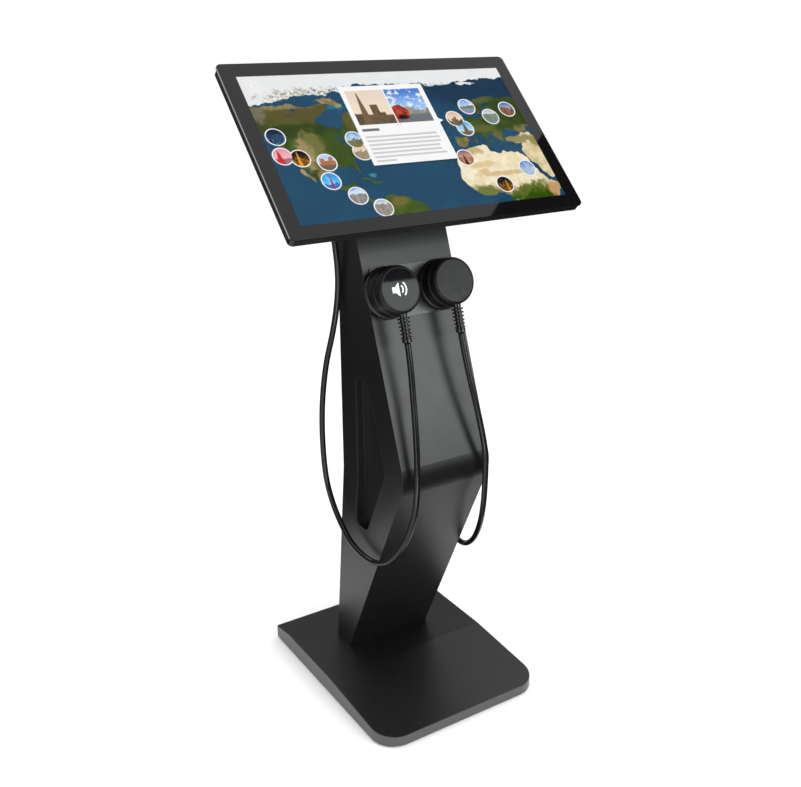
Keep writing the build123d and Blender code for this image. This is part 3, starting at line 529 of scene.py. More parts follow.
# ======== cup cushions and the sign on the left cup
PAD_RADIUS, PAD_HOLE, PAD_BACK, PAD_FRONT = 42.2 * MM, 25.6 * MM, 3.4 * MM, 12.4 * MM
PAD_MIDDLE = (PAD_BACK + PAD_FRONT) / 2
PAD_SIDES, PAD_STEPS = 48, 160  # points round the section and round the cup
PAD_FULLNESS = 0.62  # 1 is an oval section, 0 a rectangle
SEAM_DEPTH, SEAM_ANGLE, SEAM_SPREAD = 0.55 * MM, 0.62, 0.07
FOLD_DEPTH, FOLD_COUNTS = 0.16 * MM, (7, 19, 31)


def pad_profile():
    """The cushion's section: fuller than an oval, with a sewn seam in it."""
    centre, half_wide = (PAD_RADIUS + PAD_HOLE) / 2, (PAD_RADIUS - PAD_HOLE) / 2
    half_high = (PAD_FRONT - PAD_BACK) / 2
    points = []
    for i in range(PAD_SIDES):
        angle = 2 * math.pi * i / PAD_SIDES
        across, up = math.cos(angle), math.sin(angle)
        radius = centre + half_wide * math.copysign(abs(across) ** PAD_FULLNESS, across)
        height = PAD_MIDDLE + half_high * math.copysign(abs(up) ** PAD_FULLNESS, up)
        seam = SEAM_DEPTH * math.exp(-((angle - SEAM_ANGLE) / SEAM_SPREAD) ** 2)
        points.append((radius - seam, height - 0.4 * seam))
    return points


def add_pad(side, material, seed):
    """A crowned ring of leatherette over foam, with small puckers that are deepest round its hole."""
    name = f"{side}_cup_pad"
    profile = pad_profile()
    chance = random.Random(seed)
    folds = [(count, chance.uniform(0, 2 * math.pi)) for count in FOLD_COUNTS]
    points = []
    for i in range(PAD_STEPS):
        turn = 2 * math.pi * i / PAD_STEPS
        ripple = sum(math.sin(count * turn + phase) / math.sqrt(count) for count, phase in folds)
        for radius, height in profile:
            inward = (PAD_RADIUS - radius) / (PAD_RADIUS - PAD_HOLE)
            fold = FOLD_DEPTH * ripple * (0.25 + inward)
            height -= fold * (height - PAD_MIDDLE) / (PAD_FRONT - PAD_MIDDLE)
            height = min(max(height, PAD_BACK), PAD_FRONT)
            points.append(cup_frames[side] @ Vector((*polar(radius, turn), height)))
    mesh = bpy.data.meshes.new(name)
    mesh.from_pydata(points, [], quads(PAD_STEPS, len(profile), True))
    cleaned(mesh)
    pad = new_object(name, mesh, material, f"{side}_ear_cup")
    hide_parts(f"{side}_cup_cushion")


pad_cover = leatherette("cushion_leatherette")
add_pad("left", pad_cover, 5)
add_pad("right", pad_cover, 6)

BADGE_TOP, SIGN_SUNK, SIGN_THICK = 47.25, 0.02, 0.13  # in millimetres, above the column's front face


def millimetres(outlines):
    return [[(x * MM, y * MM) for x, y in outline] for outline in outlines]


def arc_band(centre, radius, width, first, last, steps=20):
    """A curved bar between two angles in degrees."""
    turns = [math.radians(first + (last - first) * i / steps) for i in range(steps + 1)]
    outer = [polar(radius + width, turn, centre) for turn in turns]
    inner = [polar(radius, turn, centre) for turn in reversed(turns)]
    return outer + inner


def add_badge_sign():
    """A generic sign for sound: a loudspeaker with two waves."""
    shapes = [
        [(-15.0, -4.5), (-9.5, -4.5), (-2.5, -11.0), (-2.5, 11.0), (-9.5, 4.5), (-15.0, 4.5)],
        arc_band((-3.0, 0.0), 6.0, 2.4, -48, 48),
        arc_band((-3.0, 0.0), 12.0, 2.4, -48, 48),
    ]
    s = Shader("sign_white")
    s.surface(Base_Color=s.mix(s.noise(60.0, 3.0), grey(0.80), grey(0.86)),
              Roughness=s.between(s.noise(90.0, 4.0), 0.3, 0.7, 0.25, 0.4, smooth=False))
    slab("left_cup_sign", millimetres(shapes), (BADGE_TOP - SIGN_SUNK) * MM, (BADGE_TOP + SIGN_THICK) * MM,
         cup_frames["left"], s.material, "left_ear_cup")


add_badge_sign()


# ======== display glass and its picture
PRINT_EDGE = 0.25 * MM
# the second grey is a painted highlight on the glass's outer edges, not a tint of the glass
PRINT_BLACK, EDGE_HIGHLIGHT_GREY = (0.0035, 0.0035, 0.004), (0.22, 0.23, 0.23)


def front_glass():
    """Clear glass over the picture, with black print round it, and its polished edges left and right painted
    light grey as a painted highlight.
    """
    s = Shader("front_glass")
    x, y, z = s.parts(s.inside(screen))
    across, up = [s.between(s.math("ABSOLUTE", value), half - PRINT_EDGE, half + PRINT_EDGE)
                  for value, half in zip((x, y), PICTURE_HALF)]
    front = s.between(z, -1.2 * MM, -1.0 * MM)  # 0 on the back face
    rim = s.times(s.between(z, -0.02 * MM, -0.05 * MM), s.between(z, -2.95 * MM, -2.9 * MM))
    border = s.times(s.math("MAXIMUM", across, up), front)
    border = s.math("MAXIMUM", border, s.times(rim, across))
    rough = s.between(s.noise(9.0, 5.0, distortion=0.6), 0.4, 0.75, 0.015, 0.06, smooth=False)
    low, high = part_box("touch_glass")
    half_wide = (high.x - low.x) / 2
    # painted highlight: a light grey band painted along the glass's outer edges left and right
    polished_edge_highlight = s.between(s.math("ABSOLUTE", x), half_wide - 0.7 * MM, half_wide - 0.5 * MM)
    colour = s.mix(polished_edge_highlight, PRINT_BLACK, EDGE_HIGHLIGHT_GREY)
    printed = s.node("BsdfPrincipled", {}, Base_Color=colour, Roughness=rough, IOR=1.43)
    clear = s.node("BsdfTransparent")
    sheen = s.node("BsdfGlossy", {}, Color=grey(1.0), Roughness=rough)
    pane = s.over(0.006, clear.outputs[0], sheen.outputs[0])
    s.show(s.over(border, pane, printed.outputs[0]))
    return s.material


paint(front_glass(), "touch_glass")


# ======== the picture on the screen
def srgb(red, green, blue):
    """A screen colour, 0 to 255, as linear light."""
    return tuple(c / 3294.6 if c < 11 else ((c / 255 + 0.055) / 1.055) ** 2.4 for c in (red, green, blue))


def lit(s, colour, strength=1.0, body=(0, 0, 0)):
    """A picture element: it shines, and its body has no gloss."""
    s.surface(0.0, Base_Color=body, Roughness=0.6, Emission_Color=colour, Emission_Strength=strength)
    return s.material


def plain_light(name, red, green, blue):
    """An even tone with the panel's faint unevenness."""
    s = Shader(name)
    tone = srgb(red, green, blue)
    return lit(s, s.mix(s.noise(30.0, 2.0), tuple(c * 0.97 for c in tone), tone))


def patch(s, place, centre, half, tear=2.0):
    """1 inside a ragged oval, 0 outside it. Sizes are in millimetres on the screen."""
    spread = s.node("Mapping", {}, Vector=place)
    spread.inputs["Location"].default_value = (-centre[0] / half[0], -centre[1] / half[1], 0)
    spread.inputs["Scale"].default_value = (1 / half[0] / MM, 1 / half[1] / MM, 0)
    far = s.node("VectorMath", {"operation": "LENGTH"})
    s.feed(far.inputs[0], spread.outputs[0])
    torn = s.times(s.minus(s.noise(85.0, 6.0, 0.65, place=place), 0.5), tear)
    return s.between(s.plus(far.outputs["Value"], torn), 1.25, 0.65)


def relief_light(s, place, colour, depth, grain):
    """Darker valleys and lighter ridges, as on a picture taken from high up."""
    rough_land = s.noise(grain, 7.0, 0.72, 0.3, place=place)
    ridges = s.between(rough_land, 0.3, 0.7, 1 - depth, 1 + depth, smooth=False)
    light = s.node("CombineColor", {}, Red=ridges, Green=ridges, Blue=ridges).outputs[0]
    return s.mix(1.0, colour, light, "MULTIPLY")


def land(name, dark, light, patches, depth=0.34, grain=210.0):
    """Land between a dark and a light tone, with (centre, half size, tone) patches over it."""
    s = Shader(name)
    place = s.inside(screen)
    colour = s.mix(s.between(s.noise(48.0, 6.0, 0.65, place=place), 0.35, 0.65), srgb(*dark), srgb(*light))
    for centre, half, tone in patches:
        colour = s.mix(patch(s, place, centre, half), colour, srgb(*tone))
    return lit(s, relief_light(s, place, colour, depth, grain))


PANEL_FRONT = -3.5 * MM  # on the screen's axis; the panel only shines there


def sea_material():
    s = Shader("picture_sea")
    place = s.inside(screen)
    depths = s.between(s.noise(16.0, 5.0, 0.6, 0.6, place=place), 0.3, 0.7)
    colour = s.mix(depths, srgb(24, 66, 96), srgb(31, 77, 106))
    for centre, half, tear, share, tone in (
        ((170, 95), (110, 40), 0.6, 1.0, (18, 50, 76)),
        ((-88, -58), (7, 4), 4.0, 0.8, (45, 150, 165)),
        ((-98, 72), (14, 5), 3.0, 0.8, (40, 120, 140)),
    ):
        colour = s.mix(s.times(patch(s, place, centre, half, tear), share), colour, srgb(*tone))
    front = s.between(s.parts(place)[2], PANEL_FRONT - 0.5 * MM, PANEL_FRONT - 0.2 * MM)
    steel = s.mix(s.noise(60.0, 4.0), grey(0.035, 0.002), grey(0.055, 0.002))
    return lit(s, colour, strength=front, body=s.mix(front, steel, (0, 0, 0)))


def ice_material():
    s = Shader("picture_ice")
    place = s.inside(screen)
    colour = s.mix(s.noise(40.0, 5.0, place=place), srgb(226, 228, 230), srgb(240, 240, 240))
    bare = s.between(s.noise(190.0, 6.0, 0.7, 0.4, place=place), 0.50, 0.56)
    bare = s.times(bare, patch(s, place, (-140, 96), (75, 15)))
    colour = s.mix(bare, colour, srgb(158, 146, 100))
    leads = s.between(s.noise(200.0, 6.0, 0.65, 0.8, place=place), 0.52, 0.57)
    leads = s.times(leads, patch(s, place, (0, 104), (170, 8)))
    return lit(s, s.mix(leads, colour, srgb(66, 92, 112)))


paint(sea_material(), "lcd_panel")

# Each layer of the picture is a thin sheet between the panel and the glass.
GROUND, WATER, SHADOW, RIM, VIEW = -3.44, -3.41, -3.38, -3.33, -3.28
CARD, CARD_VIEW, CARD_BLOCK = -3.23, -3.18, -3.14
SHEET_THICK = 0.03
LEFT_EDGE, RIGHT_EDGE, TOP_EDGE, BOTTOM_EDGE = -241.0, 244.0, 140.0, -138.0


def sheet(name, outlines, level, material):
    """A thin layer of the picture, with its outlines and its level in millimetres on the screen."""
    slab(name, millimetres(outlines), level * MM, (level + SHEET_THICK) * MM, screen, material, "stand")


def ragged(outline, seed, levels=3, share=0.22):
    """A coastline: the middle of each run moves sideways by chance, again and again.

    A run along an edge of the picture stays straight."""
    chance = random.Random(seed)
    for _ in range(levels):
        finer = []
        for (x0, y0), (x1, y1) in zip(outline, outline[1:] + outline[:1]):
            finer.append((x0, y0))
            upright_edge = x0 == x1 and x0 in (LEFT_EDGE, RIGHT_EDGE)
            level_edge = y0 == y1 and y0 in (TOP_EDGE, BOTTOM_EDGE)
            if not upright_edge and not level_edge:
                push = chance.uniform(-share, share)
                finer.append(((x0 + x1) / 2 - push * (y1 - y0), (y0 + y1) / 2 + push * (x1 - x0)))
        outline = finer
    return outline


ice_sheet = [
    (-241, 140), (-241, 81), (-225, 84), (-200, 86), (-180, 92), (-150, 96), (-120, 96), (-95, 100),
    (-60, 108), (-20, 112), (20, 113), (60, 112), (80, 105), (92, 103), (110, 105), (128, 107), (145, 112),
    (165, 112), (190, 112), (215, 114), (244, 115), (244, 140),
]
ice_islets = [(142, 109), (150, 111), (160, 110), (172, 109), (180, 106), (170, 103), (158, 105), (148, 104)]
north_america = [
    (-241, 78), (-215, 81), (-190, 80), (-165, 78), (-150, 74), (-135, 76), (-120, 80), (-110, 74),
    (-118, 66), (-130, 60), (-141, 52), (-139, 43), (-130, 38), (-116, 34), (-106, 26), (-103, 34),
    (-98, 42), (-94, 54), (-86, 60), (-70, 60), (-66, 38), (-74, 22), (-84, 12), (-100, 10), (-104, -2),
    (-98, -12), (-100, -22), (-108, -32), (-106, -42), (-104, -52), (-107, -54), (-112, -46), (-116, -40),
    (-130, -40), (-142, -38), (-148, -46), (-152, -58), (-150, -68), (-142, -74), (-132, -72), (-124, -66),
    (-120, -68), (-124, -78), (-130, -82), (-122, -88), (-112, -96), (-104, -102), (-98, -104),
    (-104, -107), (-116, -100), (-130, -90), (-145, -82), (-160, -76), (-172, -66), (-180, -56),
    (-186, -46), (-192, -38), (-198, -34), (-204, -24), (-208, -10), (-214, 4), (-218, 18), (-226, 30),
    (-241, 40),
]
lower_california = [(-197, -36), (-190, -46), (-182, -60), (-185, -61), (-192, -52), (-200, -38)]
arctic_isles = [(-128, 88), (-112, 92), (-95, 84), (-85, 74), (-92, 70), (-105, 76), (-118, 80)]
caribbean = [
    (-112, -62), (-100, -62), (-92, -68), (-84, -72), (-72, -75), (-84, -75), (-96, -69), (-106, -65),
]
great_lakes = [
    [(-124, 14), (-116, 17), (-108, 13), (-116, 11)],
    [(-115, 10), (-110, 3), (-113, -3), (-117, 4)],
    [(-108, -1), (-100, 2), (-104, -5)],
    [(-176, 70), (-170, 72), (-165, 68), (-172, 67)],
    [(-186, 60), (-180, 61), (-177, 57), (-184, 57)],
]
south_america = [
    (-88, -102), (-79, -96), (-63, -100), (-46, -103), (-33, -112), (-21, -123), (-17, -138), (-100, -138),
    (-98, -118),
]
iberia = [(87, -2), (93, -1), (109, -2), (112, -7), (105, -15), (97, -22), (87, -19), (87, -10)]
europe = [
    (103, 8), (109, 15), (107, 21), (115, 25), (125, 30), (131, 35), (134, 41), (139, 39), (139, 32),
    (149, 33), (160, 36), (169, 40), (175, 47), (173, 53), (179, 59), (189, 63), (181, 65), (173, 61),
    (167, 53), (161, 45), (155, 40), (150, 47), (150, 59), (155, 68), (165, 74), (177, 78), (191, 79),
    (203, 74), (217, 71), (229, 73), (244, 69), (244, -1), (231, 1), (219, -1), (211, 5), (203, 7),
    (199, 3), (193, 11), (185, 7), (183, -3), (178, -7), (180, -14), (173, -18), (169, -11), (162, -2),
    (155, 2), (150, -4), (157, -14), (154, -18), (146, -8), (138, 1), (130, 4), (117, -1), (111, -1),
    (105, 3),
]
small_islands = [
    [(86, 21), (92, 20), (95, 27), (90, 31)],
    [(123, -8), (127, -8), (127, -16), (123, -15)],
    [(139, -19), (147, -19), (145, -24)],
    [(194, -24), (201, -22), (200, -26)],
]
near_east = [
    (183, -9), (196, -7), (211, -7), (217, -3), (230, -2), (244, -4), (244, -93), (235, -95), (225, -83),
    (215, -63), (207, -47), (203, -38), (209, -31), (211, -21), (196, -20), (181, -17),
]
inland_sea = [(233, 9), (244, 11), (244, -12), (238, -8)]
africa = [
    (85, -27), (103, -24), (117, -22), (133, -19), (138, -22), (140, -32), (150, -37), (161, -39),
    (165, -34), (180, -37), (193, -39), (200, -45), (206, -62), (216, -85), (226, -100), (236, -103),
    (241, -108), (240, -118), (232, -128), (228, -138), (137, -138), (135, -120), (127, -114), (110, -117),
    (97, -118), (83, -112), (72, -100), (65, -88), (65, -68), (68, -55), (75, -42),
]

new_world = land("picture_new_world", (40, 64, 10), (80, 100, 38), [
    ((-150, 62), (85, 20), (86, 80, 38)),
    ((-190, 80), (60, 8), (140, 126, 84)),
    ((-165, 30), (80, 14), (44, 62, 16)),
    ((-164, 5), (22, 26), (112, 112, 60)),
    ((-180, -12), (13, 30), (152, 138, 92)),
    ((-164, -54), (15, 16), (134, 120, 74)),
    ((-120, 0), (22, 30), (58, 78, 22)),
    ((-232, 66), (16, 16), (112, 108, 84)),
    ((-80, 44), (16, 22), (92, 86, 46)),
    ((-128, -88), (40, 16), (70, 92, 34)),
])
isles = land("picture_isles", (120, 104, 62), (170, 156, 112), [
    ((-100, -66), (40, 12), (62, 88, 30)),
])
southern = land("picture_south_america", (52, 76, 18), (80, 98, 28), [
    ((-66, -108), (16, 8), (112, 104, 46)),
])
old_world = land("picture_europe", (48, 66, 20), (70, 92, 30), [
    ((215, 45), (40, 28), (46, 66, 14)),
    ((232, 0), (26, 14), (122, 116, 62)),
    ((170, -8), (14, 12), (104, 98, 52)),
    ((150, 12), (20, 8), (92, 96, 44)),
    ((170, 72), (20, 8), (84, 92, 50)),
])
dry_hills = land("picture_dry_hills", (104, 98, 50), (140, 124, 72), [])
desert = land("picture_near_east", (200, 182, 134), (230, 216, 174), [
    ((205, -14), (34, 9), (150, 136, 84)),
    ((240, -20), (14, 14), (148, 138, 88)),
], depth=0.18)
sahara = land("picture_africa", (233, 216, 176), (246, 236, 208), [
    ((100, -30), (30, 8), (196, 178, 122)),
    ((150, -78), (60, 5), (214, 190, 142)),
    ((112, -58), (30, 6), (222, 198, 150)),
    ((190, -122), (70, 24), (98, 112, 44)),
    ((200, -138), (70, 24), (48, 78, 10)),
    ((95, -112), (34, 16), (112, 120, 56)),
    ((233, -116), (16, 20), (196, 156, 108)),
    ((110, -72), (12, 6), (226, 188, 140)),
], depth=0.10, grain=150.0)
for name, outlines, level, material, seed in (
    ("picture_ice_cap", [ice_sheet, ice_islets], WATER, ice_material(), 3),
    ("picture_land_new_world", [north_america], GROUND, new_world, 11),
    ("picture_land_isles", [lower_california, arctic_isles, caribbean], GROUND, isles, 17),
    ("picture_land_south", [south_america], GROUND, southern, 23),
    ("picture_land_europe", [europe, *small_islands], WATER, old_world, 31),
    ("picture_land_iberia", [iberia], GROUND, dry_hills, 37),
    ("picture_land_near_east", [near_east], GROUND, desert, 41),
    ("picture_land_africa", [africa], GROUND, sahara, 47),
    ("picture_lakes", [*great_lakes, inland_sea], SHADOW, sea_material(), 53),
):
    sheet(name, [ragged(outline, seed + i) for i, outline in enumerate(outlines)], level, material)


def circle(centre, radius, steps=40):
    return [polar(radius, 2 * math.pi * i / steps, centre) for i in range(steps)]


def rectangle(left, right, bottom, top):
    return [(left, bottom), (right, bottom), (right, top), (left, top)]


def snapshot(name, centre, half, sky, ground, horizon=0.0, jag=0.3, blocks=6.0, tower=None, water=None,
             clouds=0.0, lamps=None, seed=0.0):
    """A small made-up view: a sky, a skyline, and perhaps a tower, water, clouds or lamps.

    Heights and widths are shares of the view's half size, and a tone is a screen colour."""
    s = Shader(name)
    place = s.inside(screen)
    u, v = [s.math("DIVIDE", s.minus(value, centre_value * MM), half * MM)
            for value, centre_value in zip(s.parts(place), centre)]
    colour = s.mix(s.between(v, horizon, 1.0), srgb(*sky[0]), srgb(*sky[1]))
    if clouds:
        puffs = s.between(s.noise(110.0, 5.0, place=place), 0.50, 0.62)
        colour = s.mix(s.times(puffs, clouds), colour, srgb(244, 246, 250))
    column = s.plus(s.times(u, blocks), seed * 7.3)
    roofs = s.node("TexVoronoi", {"voronoi_dimensions": "1D"}, W=column, Scale=1.0).outputs["Color"]
    height, lightness, _ = s.node("SeparateColor", {}, Color=roofs).outputs
    skyline = s.plus(s.times(height, jag), horizon - jag * 0.4)
    front = s.between(s.minus(v, skyline), 0.04, -0.04)
    texture = s.between(s.noise(420.0, 5.0, 0.7, place=place), 0.38, 0.62)
    shade = s.times(s.plus(texture, lightness), 0.5)
    colour = s.mix(front, colour, s.mix(shade, srgb(*ground[0]), srgb(*ground[1])))
    if tower:
        across, width, top, tone = tower
        taper = s.times(s.minus(top + 0.25, v), width)
        past = s.minus(s.math("ABSOLUTE", s.minus(u, across)), taper)
        below = s.between(v, top + 0.03, top - 0.03)
        colour = s.mix(s.times(s.between(past, 0.03, -0.03), below), colour, srgb(*tone))
    if water:
        level, tone = water
        ripples = s.times(s.minus(s.noise(300.0, 3.0, place=place), 0.5), 0.3)
        mask = s.between(s.plus(v, ripples), level + 0.05, level - 0.05)
        colour = s.mix(s.times(mask, 0.85), colour, srgb(*tone))
    if lamps:
        lit_spots = s.between(s.noise(520.0, 2.0, place=place), 0.56, 0.68)
        glow = s.times(lit_spots, s.between(v, 0.45, 0.1))
        colour = s.mix(glow, colour, srgb(*lamps))
    return lit(s, colour)


PIN_RADIUS, PIN_VIEW_RADIUS = 16.0, 14.2
blue_sky = ((176, 208, 238), (88, 150, 216))
pale_sky = ((214, 220, 226), (168, 186, 206))
warm_sky = ((236, 214, 186), (214, 190, 158))
night_sky = ((22, 34, 74), (10, 18, 48))
pins = {
    (-216, 23): dict(sky=night_sky, ground=((14, 22, 52), (44, 60, 104)), horizon=0.45,
                     lamps=(86, 190, 226)),
    (-218, -12): dict(sky=((244, 178, 188), (232, 150, 170)), ground=((120, 92, 108), (176, 130, 140)),
                      horizon=-0.3, jag=0.1, tower=(-0.35, 0.22, 0.75, (204, 44, 44))),
    (-192, -18): dict(sky=((40, 22, 12), (8, 8, 10)), ground=((60, 30, 8), (150, 90, 20)), horizon=-0.2,
                      tower=(-0.2, 0.12, 0.8, (220, 156, 24)), lamps=(240, 170, 60)),
    (-153, -29): dict(sky=blue_sky, ground=((150, 84, 44), (196, 128, 78)), horizon=0.15, jag=0.9,
                      blocks=2.2, water=(-0.35, (72, 92, 96)), clouds=0.5, seed=2.0),
    (-160, -62): dict(sky=((70, 190, 240), (40, 150, 230)), ground=((24, 84, 168), (60, 140, 214)),
                      horizon=-0.35, tower=(0.0, 0.09, 0.8, (150, 52, 120)), clouds=0.3),
    (-128, -92): dict(sky=blue_sky, ground=((92, 104, 112), (176, 168, 150)), horizon=0.2, jag=0.25,
                      clouds=0.6, seed=4.0),
    (-96, -117): dict(sky=pale_sky, ground=((96, 92, 88), (190, 178, 164)), horizon=0.45, blocks=9.0,
                      seed=5.0),
    (-91, 8): dict(sky=blue_sky, ground=((72, 92, 56), (150, 132, 96)), horizon=0.05, jag=0.5, clouds=0.4,
                   seed=6.0),
    (-88, -15): dict(sky=warm_sky, ground=((122, 108, 88), (186, 166, 136)), horizon=0.1, jag=0.6, seed=7.0),
    (105, 35): dict(sky=warm_sky, ground=((54, 50, 44), (146, 122, 92)), horizon=-0.05, jag=0.7, blocks=3.5,
                    seed=8.0),
    (116, 15): dict(sky=((172, 216, 240), (96, 176, 224)), ground=((66, 92, 58), (124, 138, 96)),
                    horizon=-0.45, jag=0.12, tower=(0.0, 0.20, 0.85, (124, 88, 60))),
    (140, 58): dict(sky=blue_sky, ground=((96, 84, 76), (150, 138, 128)), horizon=0.05, jag=0.25,
                    water=(-0.25, (126, 152, 178)), clouds=0.7, seed=10.0),
    (177, 35): dict(sky=pale_sky, ground=((70, 104, 60), (158, 164, 150)), horizon=0.35, jag=0.15,
                    water=(-0.55, (118, 134, 138)), seed=11.0),
    (217, 48): dict(sky=((150, 170, 206), (86, 112, 168)), ground=((92, 52, 40), (170, 118, 78)),
                    horizon=0.05, jag=0.8, blocks=4.0, seed=12.0),
    (88, -42): dict(sky=((196, 150, 132), (120, 98, 130)), ground=((112, 48, 34), (206, 150, 116)),
                    horizon=0.1, tower=(-0.15, 0.16, 0.4, (84, 40, 40)), seed=13.0),
    (195, -73): dict(sky=((104, 160, 216), (64, 120, 196)), ground=((112, 140, 178), (206, 220, 236)),
                     horizon=0.3, jag=0.5, blocks=1.6, clouds=0.3, seed=14.0),
    (136, -99): dict(sky=((30, 22, 16), (14, 12, 14)), ground=((52, 32, 10), (128, 80, 18)), horizon=-0.1,
                     jag=0.5, tower=(0.25, 0.14, 0.55, (190, 120, 22)), lamps=(236, 170, 50), seed=15.0),
}
sheet("picture_pin_rims", [circle(centre, PIN_RADIUS) for centre in pins], RIM,
      plain_light("picture_white", 246, 246, 248))
for i, (centre, look) in enumerate(pins.items()):
    level = VIEW + 0.002 * (i % 2)  # neighbours that overlap don't share a plane
    sheet(f"picture_pin_view_{i + 1}", [circle(centre, PIN_VIEW_RADIUS)], level,
          snapshot(f"picture_view_{i + 1}", centre, PIN_VIEW_RADIUS, **look))

card_outline = [(-79, -42), (74, -42), (74, 30), (82, 34), (74, 39), (74, 110), (-79, 110)]
sheet("picture_card_shadow", [[(x + 1.5, y - 2.5) for x, y in card_outline]], SHADOW,
      plain_light("picture_shadow", 15, 44, 66))
sheet("picture_card", [card_outline], CARD, plain_light("picture_card_white", 250, 250, 251))
old_street = snapshot(
    "picture_old_street", (-37, 67), 34.0, sky=((240, 222, 200), (232, 214, 196)),
    ground=((34, 32, 34), (140, 118, 84)), horizon=-0.1, jag=1.1, blocks=2.6,
    tower=(-0.45, 0.11, 0.85, (118, 94, 66)), seed=20.0)
square = snapshot(
    "picture_square", (32, 67), 34.0, sky=((150, 196, 244), (64, 124, 212)),
    ground=((112, 116, 104), (176, 172, 158)), horizon=-0.2, jag=0.25, blocks=3.0,
    water=(-0.5, (98, 104, 116)), clouds=0.9, seed=21.0)
red_block = land("picture_red_block", (132, 32, 24), (206, 74, 44), [((14, 45), (12, 5), (24, 22, 26))])
sheet("picture_card_view_left", [rectangle(-71, -3, 34, 101)], CARD_VIEW, old_street)
sheet("picture_card_view_right", [rectangle(-1, 65, 34, 101)], CARD_VIEW, square)
sheet("picture_card_block", [[(-1, 38), (24, 42), (27, 58), (14, 70), (-1, 66)]], CARD_BLOCK, red_block)

TEXT_LEFT, TEXT_TOP, TEXT_STEP, TEXT_THICK = -71, 12.4, 7.6, 3.5
text_bars = []
for i, right in enumerate((58, 60, 59, 54, 53, 60, -36)):
    top = TEXT_TOP - i * TEXT_STEP
    text_bars.append(rectangle(TEXT_LEFT, right, top - TEXT_THICK, top))
page_dots = [circle((x, 30.5), 1.1, 12) for x in (-4.5, 0.0)]
sheet("picture_card_bars", text_bars, CARD_VIEW, plain_light("picture_bar_grey", 205, 206, 208))
sheet("picture_card_title", [rectangle(TEXT_LEFT, -41, 21.5, 26.5), page_dots[0]], CARD_VIEW,
      plain_light("picture_title_grey", 116, 117, 120))
sheet("picture_card_dot", [page_dots[1]], CARD_VIEW, plain_light("picture_dot_grey", 176, 177, 180))

BACK_CENTRE, BACK_OUTER, BACK_INNER = (-218.0, 120.0), 9.2, 8.5
back_white = plain_light("picture_back_white", 251, 251, 251)
ring_section = [(radius * MM, height * MM) for radius, height in (
    (BACK_INNER, RIM), (BACK_OUTER, RIM), (BACK_OUTER, RIM + SHEET_THICK), (BACK_INNER, RIM + SHEET_THICK))]
back_place = screen @ Matrix.Translation((BACK_CENTRE[0] * MM, BACK_CENTRE[1] * MM, 0))
ring("picture_back_ring", ring_section, back_place, back_white, "stand")
back_arrow = [(-221.4, 120), (-216.4, 125), (-215, 123.8), (-218.8, 120), (-215, 116.2), (-216.4, 115)]
sheet("picture_back_arrow", [back_arrow], RIM, back_white)


# ======== stage
FLOOR_HALF = 60.0
ROOM_HALF, ROOM_HEIGHT, OVERHEAD_HEIGHT, FLOOR_GAP = 3.2, 3.0, 2.5, 0.004
WORLD_LEVEL, FLOOR_TONE, CARD_TONE = 1.08, 0.94, 0.02


def add_stage_card(name, corners, tone, roughness=1.0, level=0.0):
    """A flat sheet of the studio in one grey."""
    mesh = bpy.data.meshes.new(name)
    mesh.from_pydata(corners, [], [tuple(range(len(corners)))])
    s = Shader(name)
    s.surface(level, Base_Color=grey(tone), Roughness=roughness)
    mesh.materials.append(s.material)
    card = bpy.data.objects.new(name, mesh)
    bpy.context.scene.collection.objects.link(card)
    return card


def add_dark_card(name, corners, tone=CARD_TONE):
    """A dark card out of the picture. Only glossy reflections see it, and it casts no shadow."""
    card = add_stage_card(name, corners, tone)
    card.visible_camera = card.visible_shadow = card.visible_diffuse = False


def add_wall(name, first, last, tone):
    """A dark wall from one floor point to another."""
    foot = [(*first, 0), (*last, 0)]
    head = [(*last, ROOM_HEIGHT), (*first, ROOM_HEIGHT)]
    add_dark_card(name, foot + head, tone)


def add_floor_card(name, left, right, front, back):
    add_dark_card(name, [(x, y, FLOOR_GAP) for x, y in rectangle(left, right, front, back)])


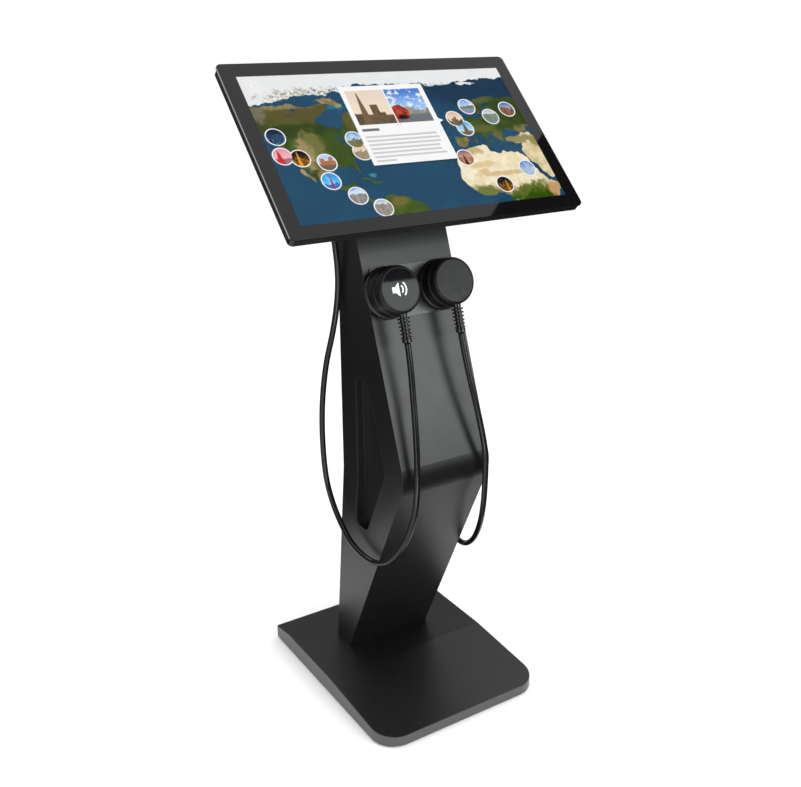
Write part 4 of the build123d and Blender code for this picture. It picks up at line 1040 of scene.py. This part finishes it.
def add_softbox(name, place, target, size, radiance, colour=(1.0, 1.0, 1.0), upright=(0, 0, 1)):
    """A rectangular area light that faces its target, with its height along upright."""
    light = bpy.data.lights.new(name, "AREA")
    light.shape = "RECTANGLE"
    light.size, light.size_y = size
    light.energy = radiance * math.pi * size[0] * size[1]
    light.color = colour
    made = bpy.data.objects.new(name, light)
    back = (Vector(place) - Vector(target)).normalized()
    made.matrix_world = local_frame(place, Vector(upright).cross(back), back)
    bpy.context.scene.collection.objects.link(made)
    made.visible_camera = False


def add_world():
    world = bpy.data.worlds.new("studio")
    world.use_nodes = True
    background = world.node_tree.nodes["Background"]
    background.inputs["Color"].default_value = (1, 1, 1, 1)
    background.inputs["Strength"].default_value = WORLD_LEVEL
    bpy.context.scene.world = world


floor_corners = rectangle(-FLOOR_HALF, FLOOR_HALF, -FLOOR_HALF, FLOOR_HALF)
add_stage_card("floor", [(x, y, 0) for x, y in floor_corners], FLOOR_TONE, roughness=0.9, level=0.1)
add_world()
add_softbox("front_box", (0.872, -1.983, 1.297), (0.0, -0.05, 0.65), (1.5, 0.9), 6.1, (0.94, 1.0, 0.985),
            upright=(0.131, 0.357, 0.924))
add_softbox("left_box", (-2.3, -1.5, 1.0), (0.0, 0.0, 0.7), (0.4, 1.3), 10.0)
add_softbox("low_box", (-0.75, -1.35, 0.2), (0.0, -0.1, 0.75), (0.5, 0.4), 6.0)
add_softbox("back_box", (-0.4, 3.0, 2.4), (0.0, 0.0, 0.6), (1.6, 0.8), 3.0)
add_softbox("back_right_box", (2.7, 0.9, 2.4), (0.0, 0.0, 0.6), (1.0, 1.2), 3.0)
room = rectangle(-ROOM_HALF, ROOM_HALF, -ROOM_HALF, ROOM_HALF)
walls = {"front_wall": 0.10, "right_wall": 0.12, "back_wall": 0.13, "left_wall": 0.12}
for (name, tone), first, last in zip(walls.items(), room, room[1:] + room[:1]):
    add_wall(name, first, last, tone)
add_floor_card("left_floor_card", -3.0, -0.1, 0.48, 3.0)
add_floor_card("front_floor_card", 0.0, 3.0, -3.0, -0.25)
add_floor_card("right_floor_card", 0.45, 3.0, -0.25, 1.5)
overhead = [(1.09, -0.78), (1.81, 0.08), (2.49, -0.50), (1.77, -1.37)]
add_dark_card("overhead_card", [(x, y, OVERHEAD_HEIGHT) for x, y in overhead])
bpy.context.scene.view_settings.view_transform = "Standard"
